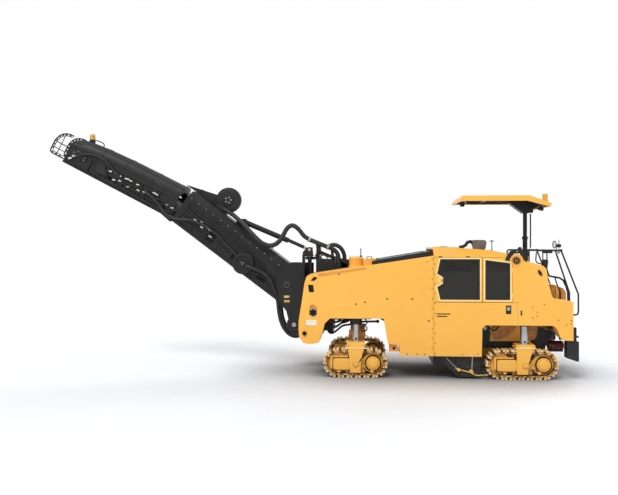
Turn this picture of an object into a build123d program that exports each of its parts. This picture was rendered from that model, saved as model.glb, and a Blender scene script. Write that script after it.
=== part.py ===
"""Cold planer on four steerable crawler tracks, with a folding loading conveyor in front.

Frame: +X points forward, +Y to the machine's left, +Z up. The ground is z = 0, and the origin
is the middle of the bounding box's underside. Lengths are millimetres. Side profiles are drawn
on planes made by side(y): their own x runs forward from the rear tracks' centre and their own
y runs up from the ground.
"""
from build123d import *
from math import atan2, cos, degrees, hypot, pi, radians, sin
import os

os.makedirs("parts", exist_ok=True)

# ------------------------------------------------------------------ driving dimensions
# body
half_width = 1150.0            # outer faces of the side panels
panel_t = 50.0                 # thickness of panels and doors
belly_z = 465.0                # lower edge of the side panels
seam_front_x = 1770.0          # bolted seam between engine bay and front body
seam_rear_x = 100.0            # seam between engine bay and operator station
channel_half = 500.0           # half width of the conveyor's channel through the front body
shoulder_z = 2460.0            # top of the doors, underside of the hood
door_sill_z = 1560.0           # bottom seam of the doors
door_split_x = 801.0           # seam between the two doors
door_rear_x = 202.0            # rear edge of the rear door
hood_top_z = 2665.0
hood_side_in = 230.0           # how far the bevelled hood sides lean in
hood_t = 40.0
joint_gap = 6.0                # running gap around doors and other moving panels
touch = 0.5                    # running clearance where a moving piece is guided
floor_z = 1080.0               # underside of the engine bay's floor plate
floor_t = 60.0
housing_in = 780.0             # inner faces of the rear leg housings

# tracks and legs
track_y = 950.0                # track centre line
track_w = 280.0
front_track_x = 3357.0
front_leg_x = 3346.0
rear_leg_x = -60.0
front_track_l = 1313.0
rear_track_l = 1448.0
front_track_h = 590.0
rear_track_h = 600.0
front_shoes = 26
rear_shoes = 28
shoe_t = 30.0                  # from the shoe's plate to the grouser tip
chain_t = 58.0                 # depth of the chain inside the shoes
front_column_r = 62.0
rear_column_r = 78.0
front_well_z = 1215.0          # roof of the front wheel well
rear_well_z = 1100.0
yoke_top_front_z = 735.0
yoke_top_rear_z = 705.0
leg_lift = 300.0               # how far a leg can draw its track up
leg_drop = 50.0                # and push it down
front_steer = 25.0
rear_steer = 20.0

# milling drum
drum_x = 1275.0
drum_z = 552.0
drum_tip_r = 450.0
drum_body_r = 370.0
drum_width = 1880.0
drum_clear = 25.0              # from pick tips to the housing
housing_t = 20.0
drum_shaft_r = 90.0
pick_rows = 8
picks_per_row = 14
protector_t = 30.0
protector_lift = 330.0

# slewing frame and conveyor
swing_x = 4380.0
swing_limit = 60.0
lift_x = 4850.0                # the conveyor's lifting axis
lift_z = 1850.0
conv_half = 360.0              # half width of the conveyor
conv_tilt = 36.8               # slope of the main section at rest
conv_depth = 800.0
main_len = 2900.0              # from the lifting axis to the folding axis
head_tilt = 27.5
head_len = 2770.0
head_low_n = 27.0              # lower edge of the head's chord above the folding axis
head_root_depth = 790.0
head_tip_depth = 660.0
lift_down = 28.0
lift_up = 4.0
fold_limit = 100.0
belt_t = 14.0
guard_s = 2780.0               # place of the two bow guards along the head section
guard_n = 370.0
guard_depth = 360.0            # how far a bow stands out
guard_half = 285.0             # half its height
bow_upper_r = 270.0            # its rounded corners
bow_lower_r = 75.0
tube_r = 11.0

# canopy
canopy_top_z = 3740.0
canopy_front_x = 1320.0
canopy_rear_x = -660.0
canopy_half = 775.0
canopy_drop = 480.0
post_x = -272.0
post_r = 50.0
post_wall = 6.0

rail_r = 17.0
rail_rear_x = -1097.0
rail_top_z = 2610.0

# ------------------------------------------------------------------ derived places
fold_s, fold_n = main_len, -conv_depth / 2
ct, st = cos(radians(conv_tilt)), sin(radians(conv_tilt))
ch, sh = cos(radians(head_tilt)), sin(radians(head_tilt))
fold_x = lift_x + fold_s * ct - fold_n * st
fold_z = lift_z + fold_s * st + fold_n * ct
bow_s = guard_s + guard_depth - bow_lower_r
bow_n = guard_n - guard_half + bow_lower_r
front_tip = fold_x + bow_s * ch - bow_n * sh + bow_lower_r
rear_tip = rail_rear_x - rail_r
x0 = -(front_tip + rear_tip) / 2      # the rear tracks' centre in this frame


def side(y):
    """Plane of a side profile: x forward from the rear tracks' centre, y up, normal to the right."""
    return Plane(origin=(x0, y, 0), x_dir=(1, 0, 0), z_dir=(0, -1, 0))


def along(x, z, tilt, y=0.0):
    """Side plane whose own x runs up a slope of tilt degrees from the point (x, z)."""
    t = radians(tilt)
    return Plane(origin=(x0 + x, y, z), x_dir=(cos(t), 0, sin(t)), z_dir=(0, -1, 0))


def deck(z):
    """Level plane at height z, x forward from the rear tracks' centre."""
    return Plane(origin=(x0, 0, z), x_dir=(1, 0, 0), z_dir=(0, 0, 1))


SIDES = (("left", 1), ("right", -1))
# end of the machine: name, leg x, track centre x, track length, height, shoes,
# column radius, yoke top, well roof
ENDS = (
    ("front", front_leg_x, front_track_x, front_track_l, front_track_h, front_shoes,
     front_column_r, yoke_top_front_z, front_well_z),
    ("rear", rear_leg_x, 0.0, rear_track_l, rear_track_h, rear_shoes,
     rear_column_r, yoke_top_rear_z, rear_well_z),
)
sleeve_wall = 22.0
sleeve_top = 2130.0

# ------------------------------------------------------------------ front body: two cheeks and a deck
nose_x = 4540.0
top_rear_z = 2500.0            # the front body's top at the seam
top_front_z = 2142.0           # and at the nose
top_break_x = 4154.0
deck_slope = (top_rear_z - top_front_z) / (top_break_x - seam_front_x)
swing_flare = conv_half + 30.0                 # outer reach of the slewing frame
flare_root = swing_x - 1.1547 * swing_flare - 20.0


def top_z(x):
    """Height of the front body's sloping top."""
    return top_rear_z - deck_slope * (x - seam_front_x)


def flare_x(y):
    """How far forward a cheek may stand at y, clear of the conveyor swung right over."""
    return flare_root + y * 0.5774


cheek_mid = (half_width + channel_half) / 2
for hand, s in SIDES:
    with BuildPart() as cheek:
        with BuildSketch(side(s * cheek_mid)):
            with BuildLine():
                Polyline(
                    (seam_front_x + 2, belly_z), (2417, belly_z), (2454, 520), (2454, 680), (2690, 700),
                    (2778, front_well_z), (3875, front_well_z), (3984, 1106), (4068, 817), (4103, 714),
                    (4290, 677), (4428, 702), (4513, 812), (nose_x, 1067), (4469, 1493), (4401, 1936),
                    (4358, 2072), (4290, 2115), (top_break_x, top_front_z),
                    (seam_front_x + 2, top_z(seam_front_x + 2)), close=True)
            make_face()
        extrude(amount=(half_width - channel_half) / 2, both=True)
        with BuildSketch(deck(0)):
            with BuildLine():
                Polyline(
                    (seam_front_x, s * channel_half), (flare_x(channel_half), s * channel_half),
                    (flare_x(1070.0), s * 1070.0), (4280, s * half_width),
                    (seam_front_x, s * half_width), close=True)
            make_face()
        extrude(amount=hood_top_z, mode=Mode.INTERSECT)
        # bore of the leg's sleeve
        with BuildSketch(Plane(origin=(x0 + front_leg_x, s * track_y, front_well_z))):
            Circle(front_column_r + touch + sleeve_wall)
        extrude(amount=sleeve_top - front_well_z, mode=Mode.SUBTRACT)
    cheek.part.label = f"front_cheek_{hand}"
    export_step(cheek.part, f"parts/front_cheek_{hand}.step")

deck_end_x = 3900.0
deck_t = 60.0
with BuildPart() as front_deck:
    with BuildSketch(side(0)):
        with BuildLine():
            Polyline(
                (seam_front_x + 2, top_z(seam_front_x + 2)), (deck_end_x, top_z(deck_end_x)),
                (deck_end_x, top_z(deck_end_x) - deck_t), (seam_front_x + 2, top_z(seam_front_x + 2) - deck_t),
                close=True)
        make_face()
    extrude(amount=channel_half, both=True)
front_deck.part.label = "front_deck"
export_step(front_deck.part, "parts/front_deck.step")

# ------------------------------------------------------------------ engine bay
arch_x, arch_z, arch_r = 129.0, 2403.0, 135.0    # round housing above the rear door's rear edge
pivot_in = 8.0                 # from a door's rear edge and outer face to its pivots
pivot_r = 6.0
pivot_len = 15.0               # how deep a pivot goes into its seat
front_pivot_x = door_split_x + joint_gap + pivot_in
rear_pivot_x = door_rear_x + joint_gap + pivot_in
pivot_y = half_width - pivot_in
for hand, s in SIDES:
    with BuildPart() as lower_panel:
        with BuildSketch(side(s * (half_width - panel_t / 2))):
            with BuildLine():
                Polyline(
                    (seam_front_x, belly_z), (813, belly_z), (801, 1040), (739, rear_well_z),
                    (seam_rear_x + 2, rear_well_z), (seam_rear_x + 2, door_sill_z),
                    (seam_front_x, door_sill_z), close=True)
            make_face()
        extrude(amount=panel_t / 2, both=True)
        # seats of the doors' lower pivots
        with BuildSketch(deck(door_sill_z)):
            with Locations((front_pivot_x, s * pivot_y), (rear_pivot_x, s * pivot_y)):
                Circle(pivot_r + touch / 2)
        extrude(amount=-pivot_len, mode=Mode.SUBTRACT)
    lower_panel.part.label = f"lower_panel_{hand}"
    export_step(lower_panel.part, f"parts/lower_panel_{hand}.step")

bulkhead_t = 40.0
wide_floor_x = 850.0
with BuildPart() as main_frame:
    # floor plate of the engine bay
    with BuildSketch(side(0)):
        with BuildLine():
            Polyline(
                (-300, floor_z), (seam_front_x, floor_z), (seam_front_x, floor_z + floor_t),
                (-300, floor_z + floor_t), close=True)
        make_face()
    extrude(amount=housing_in, both=True)
    # the floor is wider between the wells
    with Locations((x0 + (wide_floor_x + seam_front_x) / 2, 0, floor_z + floor_t / 2)):
        Box(seam_front_x - wide_floor_x, 2 * (half_width - panel_t), floor_t)
    # box between the rear tracks
    with Locations((x0 + 240, 0, (660 + floor_z) / 2)):
        Box(1060, 2 * 480, floor_z - 660)
    # front bulkhead, up to the hood and across to the panels
    with Locations((x0 + seam_front_x - bulkhead_t / 2 - 10, 0, (floor_z + shoulder_z) / 2)):
        Box(bulkhead_t, 2 * (half_width - panel_t - joint_gap), shoulder_z - floor_z)
    # rear bulkhead between the leg housings
    with Locations((x0 + 125, 0, (floor_z + shoulder_z) / 2)):
        Box(bulkhead_t, 2 * housing_in, shoulder_z - floor_z)
    # front bulkhead reaches down to the front cheeks' inner faces
    with Locations((x0 + seam_front_x + 60, 0, 1180)):
        Box(160, 2 * channel_half, 160)
main_frame.part.label = "main_frame"
export_step(main_frame.part, "parts/main_frame.step")

with BuildPart() as hood:
    with BuildSketch(Plane.YZ.offset(x0 + 260)):
        with BuildLine():
            Polyline(
                (-half_width, shoulder_z + joint_gap), (-half_width, shoulder_z + hood_t),
                (-half_width + hood_side_in, hood_top_z), (half_width - hood_side_in, hood_top_z),
                (half_width, shoulder_z + hood_t), (half_width, shoulder_z + joint_gap),
                (half_width - hood_t, shoulder_z + joint_gap),
                (half_width - hood_side_in - hood_t, hood_top_z - hood_t),
                (-half_width + hood_side_in + hood_t, hood_top_z - hood_t),
                (-half_width + hood_t, shoulder_z + joint_gap), close=True)
        make_face()
    extrude(amount=seam_front_x - 260)
    # the rear end of the hood falls towards the operator
    with BuildSketch(side(0)):
        with BuildLine():
            Polyline((200, 2515), (597, 2610), (1100, 2650), (1800, hood_top_z + 5), (1800, 2800), (200, 2800),
                     close=True)
        make_face()
    extrude(amount=half_width, both=True, mode=Mode.SUBTRACT)
    # end wall at the rear
    with BuildSketch(side(0)):
        Polygon((260, shoulder_z + joint_gap), (300, shoulder_z + joint_gap), (300, 2537), (260, 2527), align=None)
    extrude(amount=half_width - 120, both=True)
    # seats of the front doors' upper pivots
    with BuildSketch(deck(shoulder_z + joint_gap)):
        with Locations((front_pivot_x, pivot_y), (front_pivot_x, -pivot_y)):
            Circle(pivot_r + touch / 2)
    extrude(amount=pivot_len, mode=Mode.SUBTRACT)
hood.part.label = "hood"
export_step(hood.part, "parts/hood.step")

engine_l, engine_w, engine_h = 1150.0, 850.0, 950.0
with BuildPart() as engine:
    with Locations((x0 + 1020, 0, floor_z + floor_t + engine_h / 2)):
        Box(engine_l, engine_w, engine_h)
engine.part.label = "engine"
export_step(engine.part, "parts/engine.step")

# ------------------------------------------------------------------ doors with their panes
arch_under_z = arch_z - (arch_r ** 2 - (rear_pivot_x - arch_x) ** 2) ** 0.5
frame_w = 60.0                 # width of a door's border
pane_t = 8.0
# the front window's edge goes round the door's handle
handle_edge = ((1690, 1860), (1575, 1930), (1575, 2070), (1690, 2140))
# door name, rear edge, front edge, window's front edge, points round the handle,
# height of the window's top at the rear and the front, pivots' x, face that the upper pivot enters
DOORS = (
    ("front", door_split_x, seam_front_x - 2, 1630, handle_edge,
     shoulder_z - 40, shoulder_z - 40, front_pivot_x, shoulder_z + joint_gap),
    ("rear", door_rear_x, door_split_x - joint_gap, 732, (),
     shoulder_z - 118, shoulder_z - 58, rear_pivot_x, arch_under_z),
)
for hand, s in SIDES:
    for name, rear, front, win_x, edge, win_rear_z, win_front_z, pivot_x, pivot_top_z in DOORS:
        window = [
            (rear + frame_w, door_sill_z + frame_w), (win_x, door_sill_z + frame_w), *edge,
            (win_x, win_front_z), (rear + frame_w, win_rear_z)]
        with BuildPart() as door:
            with BuildSketch(side(s * (half_width - panel_t / 2))):
                with BuildLine():
                    Polyline(
                        (rear + joint_gap, door_sill_z + joint_gap), (front, door_sill_z + joint_gap),
                        (front, shoulder_z), (rear + joint_gap, shoulder_z), close=True)
                make_face()
                with BuildLine():
                    Polyline(*window, close=True)
                make_face(mode=Mode.SUBTRACT)
                # room for the round housing beside the rear door
                with Locations((arch_x, arch_z)):
                    Circle(arch_r + joint_gap, mode=Mode.SUBTRACT)
            extrude(amount=panel_t / 2, both=True)
            # pivots at the bottom and the top
            with BuildSketch(deck(door_sill_z + touch - pivot_len)):
                with Locations((pivot_x, s * pivot_y)):
                    Circle(pivot_r)
            extrude(amount=pivot_len + 30)
            with BuildSketch(deck(pivot_top_z + pivot_len - touch)):
                with Locations((pivot_x, s * pivot_y)):
                    Circle(pivot_r)
            extrude(amount=-pivot_len - 40)
        door.part.label = f"door_{name}_{hand}"
        export_step(door.part, f"parts/door_{name}_{hand}.step")
        with BuildPart() as pane:
            with BuildSketch(side(s * (half_width - panel_t / 2))):
                with BuildLine():
                    Polyline(*window, close=True)
                make_face()
            extrude(amount=pane_t / 2, both=True)
        pane.part.label = f"pane_{name}_{hand}"
        export_step(pane.part, f"parts/pane_{name}_{hand}.step")

# ------------------------------------------------------------------ operator station
housing_mid = (half_width + housing_in) / 2
for hand, s in SIDES:
    with BuildPart() as rear_panel:
        with BuildSketch(side(s * housing_mid)):
            with BuildLine():
                Polyline(
                    (arch_x - arch_r, arch_z), (-74, 2391), (-241, 2344), (-405, 2296), (-466, 2222),
                    (-501, 1956), (-571, 1688), (-618, 1641), (-926, 1595), (-990, 1571),
                    (-990, 800), (-808, 807), (-737, 866), (-667, 1036), (-600, rear_well_z),
                    (seam_rear_x, rear_well_z), (seam_rear_x, door_sill_z), (door_rear_x, door_sill_z),
                    (door_rear_x, arch_z), (arch_x + arch_r, arch_z))
                CenterArc((arch_x, arch_z), arch_r, 0, 180)
            make_face()
        extrude(amount=(half_width - housing_in) / 2, both=True)
        # bore of the leg's sleeve
        with BuildSketch(Plane(origin=(x0 + rear_leg_x, s * track_y, rear_well_z))):
            Circle(rear_column_r + touch + sleeve_wall)
        extrude(amount=sleeve_top - rear_well_z, mode=Mode.SUBTRACT)
        # seat of the rear door's upper pivot
        with BuildSketch(deck(arch_under_z - 20)):
            with Locations((rear_pivot_x, s * pivot_y)):
                Circle(pivot_r + touch / 2)
        extrude(amount=20 + pivot_len, mode=Mode.SUBTRACT)
    rear_panel.part.label = f"rear_panel_{hand}"
    export_step(rear_panel.part, f"parts/rear_panel_{hand}.step")

with BuildPart() as platform:
    with Locations((x0 - 425, 0, door_sill_z - 30)):
        Box(1050, 2 * housing_in, 60)
    with Locations((x0 - 970, 0, 1190)):
        Box(40, 2 * housing_in, 740)
    with Locations((x0 - 625, 0, 1320)):
        Box(650, 40, 360)
platform.part.label = "platform"
export_step(platform.part, "parts/platform.step")

with BuildPart() as console:
    with BuildSketch(side(0)):
        Polygon((20, door_sill_z), (103, door_sill_z), (103, 2360), (60, 2400), (-170, 2290), (-150, 2230),
                (20, 2250), align=None)
    extrude(amount=640, both=True)
console.part.label = "control_console"
export_step(console.part, "parts/control_console.step")

seat_x = -560.0
with BuildPart() as seat:
    with BuildSketch(deck(door_sill_z)):
        with Locations((seat_x, -330)):
            Circle(60)
    extrude(amount=340)
    with Locations((x0 + seat_x, -330, door_sill_z + 390)):
        Box(430, 460, 100)
    with Locations((x0 + seat_x - 200, -330, door_sill_z + 640)):
        Box(90, 440, 420)
    fillet(seat.edges().filter_by(Axis.Z).group_by(Axis.Z)[-1], 20)
seat.part.label = "operator_seat"
export_step(seat.part, "parts/operator_seat.step")

# rails: y of the loop, x shift of the slanting part, height of the root, height of the foot;
# the inner one stands beside the way up on the left
RAILS = ((1100.0, 0.0, 2392.0, 1319.0), (-1100.0, 0.0, 2392.0, 1319.0), (620.0, 50.0, 2440.5, 1500.0))
with BuildPart() as rails:
    for y, dx, rail_root_z, foot_z in RAILS:
        with BuildLine(side(y)):
            path = FilletPolyline(
                (-90, rail_root_z), (-90, rail_top_z), (-758, rail_top_z), (rail_rear_x + dx, 1730),
                (rail_rear_x + dx, foot_z), (-990 - touch / 2, foot_z), radius=55)
        with BuildSketch(Plane(origin=path @ 0, z_dir=path % 0)):
            Circle(rail_r)
        sweep(path=path)
rails.part.label = "guard_rails"
export_step(rails.part, "parts/guard_rails.step")

step_y = 1000.0
with BuildPart() as steps:
    for hand, s in SIDES:
        with BuildSketch(side(s * step_y)):
            Polygon((-990, 1060), (-1060, 1060), (-1060, 783), (-1105, 783), (-1105, 386), (-1060, 386),
                    (-871, 450), (-871, 783), (-990, 800), align=None)
        extrude(amount=110, both=True)
steps.part.label = "rear_steps"
export_step(steps.part, "parts/rear_steps.step")

# ------------------------------------------------------------------ things on the front body
with BuildPart() as tank_cover:
    with BuildSketch(side(0)):
        Polygon((1810, top_z(1810)), (3016, top_z(3016)), (3016, top_z(3016) + 70), (1810, top_z(1810) + 90),
                align=None)
    extrude(amount=1060, both=True)
tank_cover.part.label = "tank_cover"
export_step(tank_cover.part, "parts/tank_cover.step")

cleaner_x, cleaner_y, cleaner_r = 3480.0, 620.0, 150.0
with BuildPart() as air_cleaner:
    with BuildSketch(deck(2480)):
        with Locations((cleaner_x, cleaner_y)):
            Circle(cleaner_r)
    extrude(amount=-300)
    with Locations((x0 + 3220, cleaner_y, 2375)):
        Box(340, 260, 190)
    with BuildSketch(side(cleaner_y)):
        Polygon((1700, top_z(1700)), (4100, top_z(4100)), (4100, 1900), (1700, 1900), align=None)
    extrude(amount=400, both=True, mode=Mode.SUBTRACT)
air_cleaner.part.label = "air_cleaner"
export_step(air_cleaner.part, "parts/air_cleaner.step")

with BuildPart() as exhaust:
    with Locations((x0 + 707, 300, 2667)):
        Box(230, 420, 300)
    with BuildSketch(side(300)):
        Polygon((1125, 2653), (1125, 2665), (822, 2800), (822, 2735), (960, 2653), align=None)
    extrude(amount=40, both=True)
    with BuildSketch(side(300)):
        Polygon((200, 2515), (597, 2610), (1100, 2650), (1800, hood_top_z + 5), (1800, 2300), (200, 2300), align=None)
    extrude(amount=400, both=True, mode=Mode.SUBTRACT)
exhaust.part.label = "exhaust_box"
export_step(exhaust.part, "parts/exhaust_box.step")

# ------------------------------------------------------------------ milling drum and its housing
housing_r = drum_tip_r + drum_clear
housing_half = drum_width / 2 + 20.0
housing_low_z = 250.0
with BuildPart() as drum_housing:
    with BuildSketch(side(0)):
        with Locations((drum_x, drum_z)):
            Circle(housing_r + housing_t)
        with Locations((drum_x, drum_z - 175)):
            Rectangle(2 * (housing_r + housing_t), 350)
        with Locations((drum_x, (drum_z + floor_z) / 2)):
            Rectangle(500, floor_z - drum_z)
        with Locations((drum_x, drum_z)):
            Circle(housing_r, mode=Mode.SUBTRACT)
        with Locations((drum_x, drum_z - 250)):
            Rectangle(2 * housing_r, 500, mode=Mode.SUBTRACT)
    extrude(amount=housing_half + 40, both=True)
    # side walls
    for hand, s in SIDES:
        with BuildSketch(side(s * (housing_half + 20))):
            with Locations((drum_x, drum_z)):
                Circle(housing_r + housing_t)
            with Locations((drum_x, drum_z - 175)):
                Rectangle(2 * (housing_r + housing_t), 350)
            with Locations((drum_x, drum_z)):
                Circle(drum_shaft_r + touch, mode=Mode.SUBTRACT)
        extrude(amount=20, both=True)
    # ribs that guide the edge protectors
    for hand, s in SIDES:
        with Locations(*[(x0 + x, s * (housing_half + 40 + (joint_gap - touch) / 2 - 0.5), 520) for x in (900, 1600)]):
            Box(60, joint_gap - touch + 1, 440)
    # the walls end above the ground
    with Locations((x0 + drum_x, 0, housing_low_z / 2 - 50)):
        Box(3 * housing_r, 3 * housing_half, housing_low_z + 100, mode=Mode.SUBTRACT)
    # mouth for the primary conveyor in the front wall
    with Locations((x0 + drum_x + housing_r, 0, drum_z + 20)):
        Box(200, 2 * conv_half, 300, mode=Mode.SUBTRACT)
drum_housing.part.label = "drum_housing"
export_step(drum_housing.part, "parts/drum_housing.step")

with BuildPart() as drum:
    with BuildSketch(side(0)):
        with Locations((drum_x, drum_z)):
            Circle(drum_body_r)
    extrude(amount=drum_width / 2, both=True)
    with BuildSketch(side(0)):
        with Locations((drum_x, drum_z)):
            Circle(drum_shaft_r)
    extrude(amount=housing_half + 35, both=True)
    pick_r = (drum_body_r + drum_tip_r) / 2 - 5
    pick_len = drum_tip_r - drum_body_r + 10
    for i in range(pick_rows * picks_per_row):
        y = -drum_width / 2 + 45 + (drum_width - 90) * i / (pick_rows * picks_per_row - 1)
        turn = 360.0 * 5 / (pick_rows * 2) * i
        with Locations(Location((x0 + drum_x, y, drum_z), (0, turn, 0))):
            with Locations((0, 0, pick_r - 1)):
                Box(44, 34, pick_len)
drum.part.label = "drum"
export_step(drum.part, "parts/drum.step")

# ------------------------------------------------------------------ edge protectors
protector_y = housing_half + 40 + joint_gap + protector_t / 2
protector_top_z = floor_z - protector_lift - 10
for hand, s in SIDES:
    with BuildPart() as protector:
        with BuildSketch(side(s * protector_y)):
            Polygon((830, protector_top_z), (830, 60), (900, 32), (1250, 32), (1330, 80), (1450, 200),
                    (1690, belly_z), (1690, protector_top_z), align=None)
        extrude(amount=protector_t / 2, both=True)
        # skid that stands out from the plate, turned up in front
        with BuildSketch(side(s * (protector_y + 20))):
            Polygon((832, 60), (905, 55), (1030, 115), (1165, 150), (1290, 178), (1330, 200), (1315, 222),
                    (1280, 202), (1160, 174), (1020, 140), (900, 80), (832, 84), align=None)
        extrude(amount=20, both=True)
    protector.part.label = f"edge_protector_{hand}"
    export_step(protector.part, f"parts/edge_protector_{hand}.step")

# ------------------------------------------------------------------ primary conveyor
prim_x, prim_z, prim_tilt, prim_len, prim_depth = 1880.0, 640.0, 27.0, 2290.0, 240.0
with BuildPart() as primary:
    with BuildSketch(along(prim_x, prim_z, prim_tilt)):
        with Locations((prim_len / 2, prim_depth / 2)):
            SlotOverall(prim_len, prim_depth)
    extrude(amount=conv_half, both=True)
    # bars that carry it between the cheeks
    with BuildSketch(along(prim_x, prim_z, prim_tilt)):
        with Locations((250, prim_depth / 2), (1700, prim_depth / 2)):
            Circle(40)
    extrude(amount=channel_half, both=True)
primary.part.label = "primary_conveyor"
export_step(primary.part, "parts/primary_conveyor.step")

# ------------------------------------------------------------------ legs and tracks


def loop_point(s, length, height, inset):
    """Point and heading at distance s along a stadium of this length and height, drawn inset."""
    r = height / 2 - inset
    straight = length - height
    arc = pi * r
    s = s % (2 * straight + 2 * arc)
    if s < straight:
        return straight / 2 - s, -r, 180.0
    s -= straight
    if s < arc:
        a = -pi / 2 - s / r
        return -straight / 2 + r * cos(a), r * sin(a), degrees(a) - 90
    s -= arc
    if s < straight:
        return -straight / 2 + s, r, 0.0
    s -= straight
    a = pi / 2 - s / r
    return straight / 2 + r * cos(a), r * sin(a), degrees(a) - 90


def shoe_outline(centre_x, length, height, shoes):
    """Outer edge of a track: each shoe has a flat plate and a raised grouser."""
    r = height / 2 - shoe_t
    perimeter = 2 * (length - height) + 2 * pi * r
    pitch = perimeter / shoes
    points = []
    for i in range(shoes):
        # place along the shoe, height above its plate
        for part, rise in ((0.04, 0.0), (0.30, 0.0), (0.36, shoe_t), (0.58, shoe_t), (0.64, 0.0), (0.96, 0.0)):
            x, z, heading = loop_point((i + part) * pitch, length, height, shoe_t)
            a = radians(heading + 90)
            points.append((centre_x + x + rise * cos(a), height / 2 + z + rise * sin(a)))
    return points


for end, leg_x, centre_x, length, height, shoes, column_r, yoke_top, well_z in ENDS:
    for hand, s in SIDES:
        y = s * track_y
        centre_z = height / 2
        inner_r = height / 2 - shoe_t - chain_t
        straight = length - height
        # the track: shoes outside, chain inside
        with BuildPart() as track:
            with BuildSketch(side(y)):
                with BuildLine():
                    Polyline(*shoe_outline(centre_x, length, height, shoes), close=True)
                make_face()
                with Locations((centre_x, centre_z)):
                    SlotOverall(straight + 2 * (inner_r + 40), 2 * (inner_r + 40), mode=Mode.SUBTRACT)
            extrude(amount=track_w / 2, both=True)
            with BuildSketch(side(y)):
                with Locations((centre_x, centre_z)):
                    SlotOverall(straight + 2 * (inner_r + 41), 2 * (inner_r + 41))
                    SlotOverall(straight + 2 * inner_r, 2 * inner_r, mode=Mode.SUBTRACT)
            extrude(amount=track_w / 2 - 30, both=True)
        track.part.label = f"track_{end}_{hand}"
        export_step(track.part, f"parts/track_{end}_{hand}.step")

        # the frame inside the track, with the yoke over it
        hub_x = centre_x - straight / 2
        idler_x = centre_x + straight / 2
        with BuildPart() as frame:
            with BuildSketch(side(y)):
                with Locations((hub_x, centre_z), (idler_x, centre_z)):
                    Circle(inner_r - touch)
            extrude(amount=60, both=True)
            with BuildSketch(side(y)):
                with Locations((hub_x, centre_z)):
                    Circle(0.55 * inner_r)
            extrude(amount=track_w / 2 - 5, both=True)
            with BuildSketch(side(y)):
                with Locations(((hub_x + idler_x) / 2, centre_z)):
                    Rectangle(straight, 190)
            extrude(amount=80, both=True)
            with BuildSketch(side(y)):
                with Locations((centre_x + 0.25 * length, centre_z + 20)):
                    Rectangle(0.27 * length, 245)
            extrude(amount=track_w / 2 - 8, both=True)
            with BuildSketch(side(y)):
                with GridLocations(straight / 3, 1, 4, 1):
                    with Locations((centre_x, shoe_t + chain_t + 62 + touch)):
                        Circle(62)
            extrude(amount=60, both=True)
            # yoke: cross head above the track and a plate down each side
            yoke_out = track_w / 2 + 40
            head_z = height + 35
            with BuildSketch(side(y)):
                Polygon((leg_x - 185, head_z), (leg_x + 185, head_z), (leg_x + 185, yoke_top), (leg_x - 185, yoke_top),
                        align=None)
            extrude(amount=yoke_out, both=True)
            for t in (1, -1):
                with BuildSketch(side(y + t * (yoke_out - 15))):
                    Polygon((leg_x - 185, yoke_top), (leg_x + 185, yoke_top), (centre_x + 110, centre_z + 30),
                            (centre_x + 110, centre_z - 190), (centre_x - 110, centre_z - 190),
                            (centre_x - 110, centre_z + 30), align=None)
                extrude(amount=15, both=True)
            with BuildSketch(side(y)):
                with Locations((centre_x, centre_z)):
                    Circle(70)
            extrude(amount=yoke_out, both=True)
            # socket for the leg column
            with BuildSketch(Plane(origin=(x0 + leg_x, y, yoke_top))):
                Circle(column_r + touch)
            extrude(amount=-40, mode=Mode.SUBTRACT)
        frame.part.label = f"track_frame_{end}_{hand}"
        export_step(frame.part, f"parts/track_frame_{end}_{hand}.step")

        # the column that slides in its sleeve
        with BuildPart() as column:
            with BuildSketch(Plane(origin=(x0 + leg_x, y, yoke_top - 40 + touch))):
                Circle(column_r)
            extrude(amount=sleeve_top - leg_lift - 40 - yoke_top + 40)
        column.part.label = f"leg_{end}_{hand}"
        export_step(column.part, f"parts/leg_{end}_{hand}.step")

with BuildPart() as sleeves:
    for end, leg_x, centre_x, length, height, shoes, column_r, yoke_top, well_z in ENDS:
        for hand, s in SIDES:
            with BuildSketch(Plane(origin=(x0 + leg_x, s * track_y, well_z - 30))):
                Circle(column_r + touch + sleeve_wall)
                Circle(column_r + touch, mode=Mode.SUBTRACT)
            extrude(amount=sleeve_top - well_z + 30)
sleeves.part.label = "leg_sleeves"
export_step(sleeves.part, "parts/leg_sleeves.step")

# ------------------------------------------------------------------ slewing frame in front
pin_r = 45.0
plate_out = conv_half + 28.0
trunnion_r = 60.0
bearing_low_z = 1060.0         # upper faces of the two slewing bearings
bearing_high_z = 2110.0
with BuildPart() as slew_bearings:
    for z_low, z_high in ((850, bearing_low_z), (2030, bearing_high_z)):
        with Locations((x0 + 3900, 0, (z_low + z_high) / 2)):
            Box(120, 2 * channel_half, z_high - z_low)
        with BuildSketch(deck(z_low)):
            Polygon((3900, 150), (3900, -150), (swing_x, -95), (swing_x, 95), align=None)
            with Locations((swing_x, 0)):
                Circle(95)
            with Locations((swing_x, 0)):
                Circle(pin_r + touch, mode=Mode.SUBTRACT)
        extrude(amount=z_high - z_low)
    # bracket on the deck, with the arm that holds the pin's upper end
    with BuildSketch(side(0)):
        Polygon((3514, top_z(3514)), (deck_end_x, top_z(deck_end_x)), (deck_end_x + 2, 2090), (4200, 2090),
                (4200, 2420), (3514, 2401), align=None)
    extrude(amount=140, both=True)
    with BuildSketch(side(0)):
        Polygon((4100, 2400), (swing_x, 2400), (swing_x, 2460), (4235, 2460), (4235, 2612), (4185, 2595),
                (3530, 2374), (3547, 2326), (4150, 2530), align=None)
    extrude(amount=60, both=True)
    with BuildSketch(deck(2400)):
        with Locations((swing_x, 0)):
            Circle(95)
    extrude(amount=60)
    with BuildSketch(deck(2340)):
        with Locations((swing_x, 0)):
            Circle(pin_r + touch)
    extrude(amount=130, mode=Mode.SUBTRACT)
slew_bearings.part.label = "slew_bearings"
export_step(slew_bearings.part, "parts/slew_bearings.step")

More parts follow.
